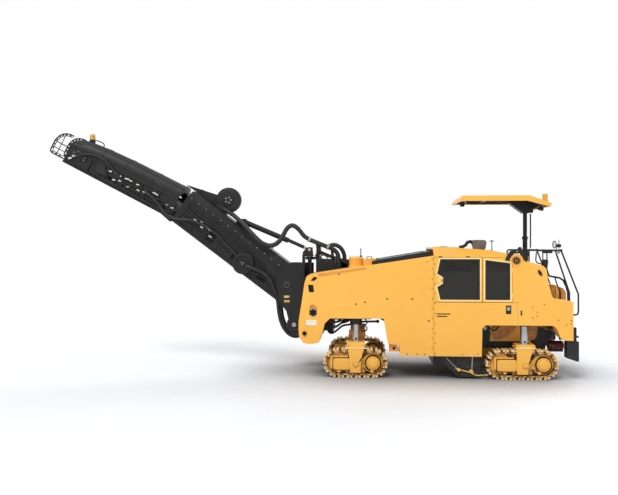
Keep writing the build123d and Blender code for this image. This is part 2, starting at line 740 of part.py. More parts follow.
# lifting cylinder: conveyor bracket and slewing-frame pin
eye_x, eye_z = swing_x, 2615.0
bracket_x, bracket_z = 5862.0, 3242.0
lift_pin_r = 22.0
eye_play = 18.0
with BuildPart() as slew_frame:
    for z_low, z_high in ((780, 1150), (1960, 2500)):
        with BuildSketch(deck(z_low)):
            with Locations((swing_x, 0)):
                Circle(pin_r)
        extrude(amount=z_high - z_low)
    for s in (1, -1):
        with BuildSketch(side(s * (plate_out - 11))):
            Polygon((4460, 2330), (4860, 2330), (5060, 2150), (5080, 1800), (4960, 1420), (4860, 1290),
                    (4800, 1060), (4460, 1060), align=None)
            with Locations((lift_x, lift_z)):
                Circle(trunnion_r + touch, mode=Mode.SUBTRACT)
        extrude(amount=11, both=True)
    with Locations((x0 + 4500, 0, 2290)):
        Box(90, 2 * plate_out, 80)
    with Locations((x0 + 4600, 0, 1105)):
        Box(290, 2 * plate_out, 90)
    for z_low, z_high in ((bearing_low_z + touch, 1150), (bearing_high_z + touch, 2330)):
        with BuildSketch(deck(z_low)):
            Polygon((swing_x, 90), (swing_x, -90), (4500, -200), (4500, 200), align=None)
            with Locations((swing_x, 0)):
                Circle(90)
        extrude(amount=z_high - z_low)
    # foot under the tail
    with BuildSketch(side(0)):
        Polygon((4505, 1080), (4505, 740), (4600, 730), (4760, 760), (4850, 900), (4850, 1080), align=None)
    extrude(amount=280, both=True)
    # lugs of the lifting cylinder on top of the upper pin
    with BuildSketch(deck(2470)):
        with Locations((swing_x + 40, 0)):
            Rectangle(240, 190)
    extrude(amount=30)
    for s in (1, -1):
        with BuildSketch(side(s * 80)):
            Polygon((swing_x - 70, 2490), (swing_x + 150, 2490), (swing_x + 150, 2560), (swing_x + 60, 2665),
                    (swing_x - 60, 2665), align=None)
        extrude(amount=12, both=True)
    # block that carries the lugs in front of the fixed arm
    with BuildSketch(side(0)):
        Polygon((swing_x + 105, 2320), (swing_x + 160, 2320), (swing_x + 160, 2480), (swing_x + 105, 2480),
                align=None)
    extrude(amount=92, both=True)
    with BuildSketch(side(0)):
        with Locations((eye_x, eye_z)):
            Circle(lift_pin_r)
    extrude(amount=100, both=True)
slew_frame.part.label = "slew_frame"
export_step(slew_frame.part, "parts/slew_frame.step")

# ------------------------------------------------------------------ conveyor, main section
main_plane_tilt = conv_tilt
half_depth = conv_depth / 2
skin = 22.0
fold_boss_r = 36.0
fold_pin_r = 20.0
ear_t = 22.0
with BuildPart() as conveyor_main:
    for s in (1, -1):
        with BuildSketch(along(lift_x, lift_z, conv_tilt, s * (conv_half - skin / 2))):
            with Locations((0, 0)):
                Circle(half_depth)
            with Locations((main_len / 2, 0)):
                Rectangle(main_len, conv_depth)
        extrude(amount=skin / 2, both=True)
    # arched cover
    with BuildSketch(Plane(origin=(x0 + lift_x, 0, lift_z), x_dir=(0, 1, 0), z_dir=(ct, 0, st))):
        with BuildLine():
            Polyline((-conv_half, half_depth - 200), (-conv_half, half_depth - 130), (-conv_half + 130, half_depth),
                     (conv_half - 130, half_depth), (conv_half, half_depth - 130), (conv_half, half_depth - 200),
                     (conv_half - skin, half_depth - 200), (conv_half - skin, half_depth - 140),
                     (conv_half - 140, half_depth - skin), (-conv_half + 140, half_depth - skin),
                     (-conv_half + skin, half_depth - 140), (-conv_half + skin, half_depth - 200), close=True)
        make_face()
    extrude(amount=main_len)
    # trim the plates' upper corners to the cover
    with BuildSketch(Plane(origin=(x0 + lift_x, 0, lift_z), x_dir=(0, 1, 0), z_dir=(ct, 0, st))):
        for s in (1, -1):
            with BuildLine():
                Polyline((s * (conv_half - 131), half_depth + 1), (s * (conv_half + 1), half_depth + 1),
                         (s * (conv_half + 1), half_depth - 131), close=True)
            make_face()
    extrude(amount=main_len, both=True, mode=Mode.SUBTRACT)
    # cross tubes under the belt
    with BuildSketch(along(lift_x, lift_z, conv_tilt)):
        with Locations(*[(main_len * k / 6, -half_depth + 30) for k in range(7)][:-1]):
            Rectangle(50, 50)
    extrude(amount=conv_half - skin / 2, both=True)
    # bosses and pins of the folding hinge
    for s in (1, -1):
        with BuildSketch(along(lift_x, lift_z, conv_tilt, s * (conv_half - skin / 2))):
            with Locations((fold_s, fold_n)):
                Circle(fold_boss_r)
        extrude(amount=skin / 2, both=True)
        with BuildSketch(along(lift_x, lift_z, conv_tilt, s * (conv_half + ear_t / 2))):
            with Locations((fold_s, fold_n)):
                Circle(fold_pin_r)
        extrude(amount=ear_t / 2 + 6, both=True)
    # lifting trunnions, flush with the slewing frame's plates
    for s in (1, -1):
        with BuildSketch(along(lift_x, lift_z, conv_tilt, s * (plate_out - 18))):
            Circle(trunnion_r)
        extrude(amount=18, both=True)
    # bracket of the lifting cylinder
    for s in (1, -1):
        with BuildSketch(side(s * 85)):
            Polygon((bracket_x - 160, bracket_z - 250), (bracket_x + 160, bracket_z - 20),
                    (bracket_x + 60, bracket_z + 55), (bracket_x - 60, bracket_z + 55), align=None)
        extrude(amount=12, both=True)
    with BuildSketch(side(0)):
        with Locations((bracket_x, bracket_z)):
            Circle(lift_pin_r)
    extrude(amount=97, both=True)
conveyor_main.part.label = "conveyor_main"
export_step(conveyor_main.part, "parts/conveyor_main.step")

belt_half = conv_half - skin - 12.0
belt_r = 150.0                 # outside of the belt round its pulleys
pulley_shaft_r = 30.0
main_belt_x, main_belt_z = main_len / 2 - 50, -60.0
main_belt_reach = (main_len + 100) / 2 - belt_r
with BuildPart() as belt_main:
    with BuildSketch(along(lift_x, lift_z, conv_tilt)):
        with Locations((main_belt_x, main_belt_z)):
            SlotOverall(2 * main_belt_reach + 2 * belt_r, 2 * belt_r)
            SlotOverall(2 * main_belt_reach + 2 * belt_r - 2 * belt_t, 2 * belt_r - 2 * belt_t, mode=Mode.SUBTRACT)
        with Locations((main_belt_x - main_belt_reach, main_belt_z), (main_belt_x + main_belt_reach, main_belt_z)):
            Circle(belt_r - belt_t)
    extrude(amount=belt_half, both=True)
    with BuildSketch(along(lift_x, lift_z, conv_tilt)):
        with Locations((main_belt_x - main_belt_reach, main_belt_z), (main_belt_x + main_belt_reach, main_belt_z)):
            Circle(pulley_shaft_r)
    extrude(amount=conv_half - skin, both=True)
belt_main.part.label = "belt_main"
export_step(belt_main.part, "parts/belt_main.step")

# ------------------------------------------------------------------ conveyor, folding head
root = 60.0                    # from the folding axis to the head section
# top of the head's cover: s along the head, n above the folding axis
HEAD_COVER = (
    (root, head_root_depth), (1290, 772), (2130, 730), (2440, 700), (2600, 652), (2710, 580), (head_len, 480))


def head_cover_n(s):
    """Height of the head's cover at s, between the fourth and fifth points of its top."""
    (s1, n1), (s2, n2) = HEAD_COVER[3:5]
    return n1 + (n2 - n1) * (s - s1) / (s2 - s1)


with BuildPart() as conveyor_head:
    for s in (1, -1):
        with BuildSketch(along(fold_x, fold_z, head_tilt, s * (conv_half - skin / 2))):
            # lower chord, upper plate and the head's end plate
            Polygon((root, head_low_n), (head_len, head_low_n), (head_len, head_low_n + 70),
                    (root, head_low_n + 70), align=None)
            Polygon((root, head_root_depth - 330), (head_len, head_tip_depth - 330), (head_len, head_tip_depth - 180),
                    (head_len - 60, head_tip_depth - 130), (root, head_root_depth - 130), align=None)
            Polygon((head_len - 600, head_low_n), (head_len, head_low_n), (head_len, head_tip_depth - 180),
                    (head_len - 60, head_tip_depth - 130), (head_len - 600, head_tip_depth - 120), align=None)
            Polygon((root, head_low_n), (root + 150, head_low_n), (root + 150, head_root_depth - 130),
                    (root, head_root_depth - 130), align=None)
            for k in range(1, 5):
                at = root + k * (head_len - 600 - root) / 5
                Polygon((at, head_low_n), (at + 45, head_low_n), (at + 45, head_tip_depth - 200),
                        (at, head_tip_depth - 200), align=None)
        extrude(amount=skin / 2, both=True)
    # ears that reach back to the folding hinge, outside the main section's plates
    for s in (1, -1):
        with BuildSketch(along(fold_x, fold_z, head_tilt, s * (conv_half + touch + ear_t / 2))):
            Polygon((0, -fold_boss_r), (root + 200, head_low_n), (root + 200, 150), (0, fold_boss_r), align=None)
            Circle(fold_boss_r)
            Circle(fold_pin_r + touch, mode=Mode.SUBTRACT)
        extrude(amount=ear_t / 2, both=True)
        with BuildSketch(along(fold_x, fold_z, head_tilt, s * conv_half)):
            Polygon((root + 50, head_low_n + 5), (root + 195, head_low_n + 5), (root + 195, 140), (root + 50, 60),
                    align=None)
        extrude(amount=5, both=True)
    # arched cover that tapers to the head
    with BuildSketch(along(fold_x, fold_z, head_tilt)):
        Polygon((root, head_root_depth - 131), (head_len - 60, head_tip_depth - 131),
                (head_len, head_tip_depth - 181), *reversed(HEAD_COVER), align=None)
    extrude(amount=conv_half, both=True)
    with BuildSketch(Plane(origin=(x0 + fold_x, 0, fold_z), x_dir=(0, 1, 0), z_dir=(ch, 0, sh))):
        for s in (1, -1):
            with BuildLine():
                Polyline((s * (conv_half - 140), head_root_depth + 1), (s * (conv_half + 1), head_root_depth + 1),
                         (s * (conv_half + 1), head_root_depth - 230), close=True)
            make_face()
    extrude(amount=head_len, mode=Mode.SUBTRACT)
    # cross tubes
    with BuildSketch(along(fold_x, fold_z, head_tilt)):
        with Locations(*[(root + 40 + k * (head_len - root - 80) / 5, head_low_n + 35) for k in range(6)]):
            Rectangle(50, 50)
    extrude(amount=conv_half - skin / 2, both=True)
conveyor_head.part.label = "conveyor_head"
export_step(conveyor_head.part, "parts/conveyor_head.step")

head_belt_x, head_belt_z = root + head_len / 2 - 20, 300.0
head_belt_reach = (head_len - 40) / 2 - belt_r
with BuildPart() as belt_head:
    with BuildSketch(along(fold_x, fold_z, head_tilt)):
        with Locations((head_belt_x, head_belt_z)):
            SlotOverall(2 * head_belt_reach + 2 * belt_r, 2 * belt_r)
            SlotOverall(2 * head_belt_reach + 2 * belt_r - 2 * belt_t, 2 * belt_r - 2 * belt_t, mode=Mode.SUBTRACT)
        with Locations((head_belt_x - head_belt_reach, head_belt_z), (head_belt_x + head_belt_reach, head_belt_z)):
            Circle(belt_r - belt_t)
    extrude(amount=belt_half, both=True)
    with BuildSketch(along(fold_x, fold_z, head_tilt)):
        with Locations((head_belt_x - head_belt_reach, head_belt_z), (head_belt_x + head_belt_reach, head_belt_z)):
            Circle(pulley_shaft_r)
    extrude(amount=conv_half - skin, both=True)
belt_head.part.label = "belt_head"
export_step(belt_head.part, "parts/belt_head.step")

# bow guards at the discharge, and the amber beacon
beacon_s, beacon_r, beacon_h = 2500.0, 65.0, 190.0
with BuildPart() as head_guards:
    for s in (1, -1):
        with BuildSketch(along(fold_x, fold_z, head_tilt, s * (conv_half + tube_r))) as bow:
            with BuildLine():
                Polyline((guard_s, guard_n - guard_half), (guard_s + guard_depth, guard_n - guard_half),
                         (guard_s + guard_depth, guard_n + guard_half), (guard_s, guard_n + guard_half), close=True)
            make_face()
            outer_corners = bow.vertices().group_by(Axis.X)[-1].sort_by(Axis.Y)
            fillet(outer_corners[0], bow_lower_r)
            fillet(outer_corners[1], bow_upper_r)
            offset(amount=-2 * tube_r, mode=Mode.SUBTRACT)
            # cross bar and the two brackets on the head's side
            with Locations((guard_s + guard_depth / 2, guard_n)):
                Rectangle(guard_depth - 2 * tube_r, 2 * tube_r)
            with Locations((guard_s - 60, guard_n + 90), (guard_s - 60, guard_n - 200)):
                Rectangle(160, 60)
        extrude(amount=tube_r, both=True)
head_guards.part.label = "head_guards"
export_step(head_guards.part, "parts/head_guards.step")

beacon_n = head_cover_n(beacon_s) + 45
with BuildPart() as head_beacon:
    with BuildSketch(along(fold_x, fold_z, head_tilt)):
        Polygon((beacon_s - 55, head_cover_n(beacon_s - 55)), (beacon_s + 55, head_cover_n(beacon_s + 55)),
                (beacon_s + 55, beacon_n), (beacon_s - 55, beacon_n), align=None)
    extrude(amount=55, both=True)
    with BuildSketch(Plane(origin=(x0 + fold_x + beacon_s * ch - (beacon_n - 30) * sh, 0,
                                   fold_z + beacon_s * sh + (beacon_n - 30) * ch))):
        Circle(beacon_r)
    extrude(amount=beacon_h)
head_beacon.part.label = "head_beacon"
export_step(head_beacon.part, "parts/head_beacon.step")

# dust extraction fan on top and its duct
fan_s, fan_n, fan_r = 2186.0, 692.0, 280.0
with BuildPart() as dust_fan:
    with BuildSketch(along(lift_x, lift_z, conv_tilt, 60)):
        with Locations((fan_s, fan_n)):
            Circle(fan_r)
    extrude(amount=60, both=True)
    with BuildSketch(along(lift_x, lift_z, conv_tilt, -60)):
        Polygon((fan_s - 60, 750), (main_len + 250, 403), (main_len + 250, 385), (main_len + 4, half_depth + touch),
                (fan_s - 60, half_depth + touch), align=None)
    extrude(amount=60, both=True)
    with BuildSketch(along(lift_x, lift_z, conv_tilt)):
        Polygon((fan_s - 160, half_depth + touch), (fan_s + 160, half_depth + touch), (fan_s + 120, fan_n - 180),
                (fan_s - 120, fan_n - 180), align=None)
    extrude(amount=120, both=True)
dust_fan.part.label = "dust_fan"
export_step(dust_fan.part, "parts/dust_fan.step")

# ------------------------------------------------------------------ lifting cylinder
strut_l = hypot(bracket_x - eye_x, bracket_z - eye_z)
strut_tilt = degrees(atan2(eye_z - bracket_z, eye_x - bracket_x))
barrel_l = 1090.0
barrel_r = 58.0
bore_r = 44.0
rod_r = 28.0
with BuildPart() as lift_barrel:
    strut = Plane(origin=(x0 + bracket_x, 0, bracket_z), x_dir=(0, 1, 0),
                  z_dir=((eye_x - bracket_x) / strut_l, 0, (eye_z - bracket_z) / strut_l))
    with BuildSketch(strut.offset(70)):
        Circle(barrel_r)
    extrude(amount=barrel_l - 70)
    with BuildSketch(strut.offset(130)):
        Circle(bore_r)
    extrude(amount=barrel_l - 130 - 60, mode=Mode.SUBTRACT)
    with BuildSketch(strut.offset(130)):
        Circle(rod_r + touch)
    extrude(amount=barrel_l, mode=Mode.SUBTRACT)
    with BuildSketch(side(0)):
        with Locations((bracket_x, bracket_z)):
            Circle(52)
    extrude(amount=60, both=True)
    with BuildSketch(strut):
        Circle(40)
    extrude(amount=80)
    with BuildSketch(side(0)):
        with Locations((bracket_x, bracket_z)):
            Circle(lift_pin_r + touch)
    extrude(amount=80, both=True, mode=Mode.SUBTRACT)
lift_barrel.part.label = "lift_barrel"
export_step(lift_barrel.part, "parts/lift_barrel.step")

with BuildPart() as lift_rod:
    with BuildSketch(strut.offset(260)):
        Circle(bore_r - touch)
    extrude(amount=60)
    with BuildSketch(strut.offset(260)):
        Circle(rod_r)
    extrude(amount=strut_l - 260 - 30)
    with BuildSketch(side(0)):
        with Locations((eye_x, eye_z)):
            Circle(lift_pin_r + eye_play + 22)
    extrude(amount=45, both=True)
    with BuildSketch(side(0)):
        with Locations((eye_x, eye_z)):
            Circle(lift_pin_r + eye_play)
    extrude(amount=80, both=True, mode=Mode.SUBTRACT)
lift_rod.part.label = "lift_rod"
export_step(lift_rod.part, "parts/lift_rod.step")

# ------------------------------------------------------------------ canopy on its post
fascia = 112.0
roof_t = 30.0
roof_bend_x = canopy_rear_x + 445          # where the roof starts to fall to the rear
roof_front_x = 1137.0                      # and to the front
canopy_lip_x = canopy_rear_x + 50          # inner face of the rear lip
canopy_lip_z = canopy_top_z - 174
with BuildPart() as canopy_roof:
    with BuildSketch(side(0)):
        Polygon((canopy_front_x, canopy_top_z - 200), (canopy_front_x, canopy_top_z - 165),
                (roof_front_x, canopy_top_z), (roof_bend_x, canopy_top_z),
                (canopy_rear_x, canopy_top_z - 165), (canopy_rear_x + 24, canopy_top_z - 235),
                (roof_bend_x + 45, canopy_top_z - fascia), (roof_front_x - 25, canopy_top_z - fascia),
                align=None)
    extrude(amount=canopy_half, both=True)
    with BuildSketch(side(0)):
        Polygon((canopy_front_x - 60, canopy_top_z - 400), (canopy_front_x - 60, canopy_top_z - 150),
                (roof_front_x - 13, canopy_top_z - roof_t), (roof_bend_x, canopy_top_z - roof_t),
                (canopy_lip_x, canopy_lip_z), (canopy_lip_x, canopy_top_z - 400), align=None)
    extrude(amount=canopy_half - roof_t, both=True, mode=Mode.SUBTRACT)
canopy_roof.part.label = "canopy_roof"
export_step(canopy_roof.part, "parts/canopy_roof.step")

mast_r = post_r - post_wall - touch
post_low_z, post_high_z = door_sill_z, 2900.0
beam_z = 2150.0
mast_high_z = 3400.0
roof_z = canopy_top_z - roof_t             # underside of the flat roof
roof_fall = (roof_z - canopy_lip_z) / (roof_bend_x - canopy_lip_x)
with BuildPart() as canopy_mast:
    with BuildSketch(Plane(origin=(x0 + post_x, 0, post_low_z + 20 + canopy_drop + joint_gap))):
        Circle(mast_r)
    extrude(amount=mast_high_z + 30 - post_low_z - 20 - canopy_drop - joint_gap)
    with BuildSketch(side(0)):
        Polygon((post_x - 60, mast_high_z), (post_x + 60, mast_high_z), (post_x + 400, roof_z - 60),
                (post_x + 400, roof_z), (roof_bend_x, roof_z),
                (post_x - 60, roof_z - roof_fall * (roof_bend_x - post_x + 60)), align=None)
    extrude(amount=130, both=True)
canopy_mast.part.label = "canopy_mast"
export_step(canopy_mast.part, "parts/canopy_mast.step")

with BuildPart() as canopy_post:
    with BuildSketch(deck(post_low_z)):
        with Locations((post_x, 0)):
            Circle(post_r)
    extrude(amount=post_high_z - post_low_z)
    with Locations((x0 + post_x, 0, beam_z)):
        Box(130, 2 * housing_in, 120)
    # bore that the mast slides in
    with BuildSketch(deck(post_low_z + 20)):
        with Locations((post_x, 0)):
            Circle(post_r - post_wall)
    extrude(amount=post_high_z, mode=Mode.SUBTRACT)
canopy_post.part.label = "canopy_post"
export_step(canopy_post.part, "parts/canopy_post.step")

print("rear track x", round(x0, 1), "fold", round(fold_x, 1), round(fold_z, 1), "tips", front_tip, rear_tip)
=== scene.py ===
"""Visual model of the cold planer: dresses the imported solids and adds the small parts.

Places are written as x forward from the rear tracks' centre, y to the machine's left and z up,
in metres. P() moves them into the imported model's frame.
"""
import math

import bmesh
import bpy
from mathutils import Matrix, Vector


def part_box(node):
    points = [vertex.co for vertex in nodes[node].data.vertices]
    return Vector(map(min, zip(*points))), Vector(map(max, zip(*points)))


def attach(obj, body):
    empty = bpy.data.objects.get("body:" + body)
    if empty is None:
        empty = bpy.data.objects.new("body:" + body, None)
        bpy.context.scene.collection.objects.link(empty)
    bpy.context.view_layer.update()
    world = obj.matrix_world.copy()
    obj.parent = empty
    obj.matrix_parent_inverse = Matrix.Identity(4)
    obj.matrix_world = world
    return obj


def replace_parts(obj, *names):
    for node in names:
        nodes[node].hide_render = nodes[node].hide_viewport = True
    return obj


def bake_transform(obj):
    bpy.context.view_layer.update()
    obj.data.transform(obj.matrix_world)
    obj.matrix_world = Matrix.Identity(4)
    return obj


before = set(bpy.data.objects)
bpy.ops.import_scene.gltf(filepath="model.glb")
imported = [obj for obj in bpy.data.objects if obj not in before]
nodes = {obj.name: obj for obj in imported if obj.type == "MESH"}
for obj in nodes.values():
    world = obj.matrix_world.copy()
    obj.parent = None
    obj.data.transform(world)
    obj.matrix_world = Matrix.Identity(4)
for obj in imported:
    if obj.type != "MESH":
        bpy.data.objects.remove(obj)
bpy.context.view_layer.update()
low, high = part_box("track_rear_left")
X0 = (low.x + high.x) / 2
SIDES = (("left", 1), ("right", -1))
HALF = 1.15                    # outer face of the side panels
ROOT = 1.14                    # where what stands on that face starts, inside the panel
PROUD = HALF + 0.004           # face of the plates let into the side panels


def P(x, y, z):
    return Vector((X0 + x, y, z))


# ------------------------------------------------------------------ camera and studio
scene = bpy.context.scene
scene.view_settings.view_transform = "Standard"
cam = bpy.data.objects.new("camera", bpy.data.cameras.new("camera"))
scene.collection.objects.link(cam)
cam.location = P(3.057, 16.488, 2.696)
photo_width, focal_length = 618, 750   # both in the photo's pixels
yaw = math.radians(4.65)
cam.rotation_mode = "QUATERNION"
cam.rotation_quaternion = Vector((math.sin(yaw), -math.cos(yaw), 0)).to_track_quat("-Z", "Y")
cam.data.sensor_width = 36.0
cam.data.lens = cam.data.sensor_width * focal_length / photo_width
cam.data.shift_y = -1.5 / photo_width
cam.data.clip_end = 400
scene.camera = cam


def sun(name, direction, strength, angle):
    light = bpy.data.lights.new(name, "SUN")
    light.energy = strength
    light.angle = math.radians(angle)
    obj = bpy.data.objects.new(name, light)
    obj.rotation_mode = "QUATERNION"
    obj.rotation_quaternion = Vector(direction).to_track_quat("Z", "Y")
    scene.collection.objects.link(obj)


sun("key", (0.25, 0.62, 0.75), 1.55, 22)
sun("back_fill", (-0.45, -0.7, 0.55), 0.9, 30)


def seen_nodes(tree):
    """1 for the camera's own rays and for those through mirrors and glass, else 0."""
    path = tree.nodes.new("ShaderNodeLightPath")
    total = path.outputs["Is Camera Ray"]
    for name in ("Is Glossy Ray", "Is Transmission Ray"):
        add = tree.nodes.new("ShaderNodeMath")
        add.operation = "MAXIMUM"
        tree.links.new(total, add.inputs[0])
        tree.links.new(path.outputs[name], add.inputs[1])
        total = add.outputs[0]
    return total


world = bpy.data.worlds.new("studio")
scene.world = world
world.use_nodes = True
wt = world.node_tree
background = wt.nodes["Background"]
strength = wt.nodes.new("ShaderNodeMapRange")
strength.inputs["To Min"].default_value = 0.60
strength.inputs["To Max"].default_value = 1.0
wt.links.new(seen_nodes(wt), strength.inputs["Value"])
wt.links.new(strength.outputs["Result"], background.inputs["Strength"])
background.inputs["Color"].default_value = (1, 1, 1, 1)


def srgb(r, g, b):
    """Linear colour, as a shader takes it, from 0-255 values."""
    out = []
    for c in (r / 255, g / 255, b / 255):
        out.append(c / 12.92 if c <= 0.04045 else ((c + 0.055) / 1.055) ** 2.4)
    return (*out, 1.0)


# ------------------------------------------------------------------ materials


def material(name, colour, other, rough, metal=0.0, scale=1.6, grain=0.1, grain_scale=260.0, dust=0.0,
        coat=0.0, spec=0.5, trans=0.0):
    """Procedural finish: a cloudy mix of two 0-255 colours, dust low down and a fine grain."""
    mat = bpy.data.materials.new(name)
    mat.use_nodes = True
    tree = mat.node_tree
    shader = tree.nodes["Principled BSDF"]
    new, link = tree.nodes.new, tree.links.new
    place = new("ShaderNodeTexCoord")

    def noise(size, detail=4.0):
        n = new("ShaderNodeTexNoise")
        n.inputs["Scale"].default_value = size
        n.inputs["Detail"].default_value = detail
        link(place.outputs["Object"], n.inputs["Vector"])
        return n.outputs["Fac"]

    def mix(fac, a, b):
        m = new("ShaderNodeMix")
        m.data_type = "RGBA"
        link(fac, m.inputs["Factor"])
        for socket, value in ((m.inputs["A"], a), (m.inputs["B"], b)):
            if isinstance(value, tuple):
                socket.default_value = value
            else:
                link(value, socket)
        return m.outputs["Result"]

    def ramp(fac, lo, hi, a=0.0, b=1.0):
        r = new("ShaderNodeMapRange")
        r.inputs["From Min"].default_value = lo
        r.inputs["From Max"].default_value = hi
        r.inputs["To Min"].default_value = a
        r.inputs["To Max"].default_value = b
        link(fac, r.inputs["Value"])
        return r.outputs["Result"]

    cloud = noise(scale)
    shade = mix(ramp(cloud, 0.35, 0.65), srgb(*colour), srgb(*other))
    if dust:
        split = new("ShaderNodeSeparateXYZ")
        link(place.outputs["Object"], split.inputs["Vector"])
        low_down = ramp(split.outputs["Z"], 0.1, 1.0, dust, 0.0)
        speck = new("ShaderNodeMath")
        speck.operation = "MULTIPLY"
        link(low_down, speck.inputs[0])
        link(ramp(noise(9.0, 8.0), 0.4, 0.7), speck.inputs[1])
        shade = mix(speck.outputs[0], shade, srgb(150, 138, 120))
    link(shade, shader.inputs["Base Color"])
    fine = noise(grain_scale, 2.0)
    link(ramp(noise(scale * 7, 6.0), 0.3, 0.7, rough - 0.06, rough + 0.08), shader.inputs["Roughness"])
    shader.inputs["Metallic"].default_value = metal
    shader.inputs["Specular IOR Level"].default_value = spec
    shader.inputs["Coat Weight"].default_value = coat
    shader.inputs["Coat Roughness"].default_value = 0.12
    shader.inputs["Transmission Weight"].default_value = trans
    bump = new("ShaderNodeBump")
    bump.inputs["Strength"].default_value = grain
    bump.inputs["Distance"].default_value = 0.001
    link(fine, bump.inputs["Height"])
    link(bump.outputs["Normal"], shader.inputs["Normal"])
    return mat


YELLOW = material("yellow", (250, 187, 80), (246, 182, 74), 0.38, scale=0.7, coat=0.15, dust=0.10,
    grain=0.05, grain_scale=420, spec=0.35)
# lighter yellow for rounded edges, hinges and handle plates: a painted highlight
YELLOW_HIGHLIGHT = material("yellow_highlight", (255, 212, 128), (252, 200, 104), 0.4, coat=0.2)
# orange: yellow paint in painted shade, for facets turned from the light and parts in shadow
ORANGE_SHADE = material("orange_painted_shade", (226, 150, 52), (214, 140, 46), 0.4, coat=0.2)
TRACK = material("track_yellow", (250, 214, 146), (206, 152, 84), 0.5, scale=11.0, dust=0.3, grain=0.35,
    grain_scale=150)
# pale cream; on the track shoes' lugs it is a painted highlight
PALE_CREAM = material("pale_cream", (255, 240, 200), (238, 206, 146), 0.4, scale=14.0, grain=0.4,
    grain_scale=120)
TRACK_SHADE = material("track_shade", (34, 21, 11), (18, 12, 8), 0.7, scale=8.0, spec=0.15)
CHAIN = material("chain_steel", (206, 148, 84), (128, 84, 44), 0.5, metal=0.1, scale=12.0, grain=0.4)
BLACK = material("black", (36, 36, 37), (28, 28, 29), 0.42, dust=0.10, grain=0.12, grain_scale=350,
    spec=0.28)
# lighter grey for the black solids' rounded edges: a painted highlight
BLACK_HIGHLIGHT = material("black_highlight", (82, 82, 82), (60, 60, 60), 0.4, spec=0.3)
COVER = material("cover_black", (42, 42, 41), (32, 32, 32), 0.45, scale=3.0, grain=0.3, grain_scale=160,
    spec=0.3)
RUBBER = material("rubber", (32, 32, 32), (44, 44, 43), 0.5, scale=6.0, grain=0.3, grain_scale=500,
    spec=0.35)
GLASS = material("tinted_glass", (42, 40, 38), (38, 37, 35), 0.10, grain=0.0, spec=0.25, trans=0.08)
GREY = material("grey_steel", (142, 140, 136), (118, 116, 112), 0.45, metal=0.3, scale=5.0, grain=0.25)
CHROME = material("chrome", (186, 186, 184), (168, 168, 166), 0.22, metal=0.8, grain=0.03)
STEEL = material("bare_steel", (190, 188, 184), (148, 146, 142), 0.35, metal=0.7, scale=20.0)
# near black for seams, rollers and pins; in openings and slots it is painted shade
DARK = material("dark_hole", (18, 16, 14), (26, 22, 18), 0.7, spec=0.2)
AMBER = material("amber_lens", (240, 176, 60), (230, 160, 40), 0.15, coat=0.5, trans=0.1)
RED = material("dark_red", (110, 28, 34), (84, 22, 26), 0.35, coat=0.3)
WHITE = material("pale_plate", (240, 234, 222), (228, 222, 208), 0.4)
LENS = material("lamp_glass", (214, 218, 222), (190, 196, 202), 0.08, coat=0.5)
ZINC = material("zinc_plate", (216, 196, 110), (190, 160, 76), 0.4, metal=0.2, scale=12.0)
FABRIC = material("seat_cloth", (48, 46, 44), (66, 62, 58), 0.85, scale=60.0, grain=0.8, grain_scale=700)
# brown: yellow paint in deeper painted shade, for recesses, wells and lockers
BROWN_SHADE = material("brown_painted_shade", (212, 148, 72), (172, 114, 54), 0.5, scale=8.0)
MUFFLER = material("muffler_grey", (122, 110, 104), (104, 92, 88), 0.5, metal=0.2, scale=9.0, grain=0.3)
# pale cream for window lips and flange edges: a painted highlight
PALE_HIGHLIGHT = material("pale_highlight", (255, 232, 170), (255, 222, 150), 0.4, coat=0.2)
# near black with brown mottle: painted shade and a painted reflection on the panes' tops
PANE_SHADE = material("pane_shade_and_reflection", (24, 23, 24), (46, 34, 26), 0.12, scale=2.2, grain=0.0, spec=0.25)
BRONZE = material("bronze_pipe", (96, 78, 52), (70, 62, 44), 0.5, scale=9.0)

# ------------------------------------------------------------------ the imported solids, with real edges


def dress(names, mat, edge, width=0.005, segments=2):
    """Gives solids their finish and rounds their sharp edges; the rounding takes the edge material, a
    lighter painted highlight on the yellow and black solids.
    """
    for name in names:
        obj = nodes[name]
        obj.data.materials.clear()
        obj.data.materials.append(mat)
        obj.data.materials.append(edge)
        for poly in obj.data.polygons:
            poly.material_index = 0
        flat = obj.modifiers.new("flat", "DECIMATE")
        flat.decimate_type = "DISSOLVE"
        flat.angle_limit = math.radians(0.6)
        if width:
            bevel = obj.modifiers.new("bevel", "BEVEL")
            bevel.width = width
            bevel.segments = segments
            bevel.limit_method = "ANGLE"
            bevel.angle_limit = math.radians(38)
            bevel.material = 1
            bevel.harden_normals = True


def both(*stems):
    return [f"{stem}_{hand}" for stem in stems for hand, _ in SIDES]


dress(both("front_cheek", "rear_panel"), YELLOW, YELLOW_HIGHLIGHT, 0.012, 3)
dress(both("lower_panel", "door_front", "door_rear") + ["hood", "main_frame", "air_cleaner"], YELLOW,
    YELLOW_HIGHLIGHT, 0.006)
dress(both("track_frame_front", "track_frame_rear"), YELLOW, YELLOW_HIGHLIGHT, 0.004)
dress(["front_deck", "platform", "tank_cover", "drum_housing", "primary_conveyor", "slew_bearings",
    "slew_frame", "conveyor_main", "conveyor_head", "rear_steps", "canopy_post", "canopy_mast",
    "leg_sleeves", "lift_barrel", "control_console", "dust_fan"] + both("edge_protector"), BLACK,
    BLACK_HIGHLIGHT, 0.005)
dress(["guard_rails"], BLACK, BLACK_HIGHLIGHT, 0.0)
dress(both("pane_front", "pane_rear"), GLASS, GLASS, 0.0)
dress(both("leg_front", "leg_rear") + ["lift_rod"], CHROME, CHROME, 0.003)
dress(["engine", "drum", "exhaust_box"], GREY, GREY, 0.006)
dress(["belt_main", "belt_head"], RUBBER, RUBBER, 0.0)
dress(["head_beacon"], AMBER, AMBER, 0.004)
dress(["operator_seat"], FABRIC, FABRIC, 0.02, 3)

# ------------------------------------------------------------------ mesh building


def level(x, y, z):
    return (x, y, z)


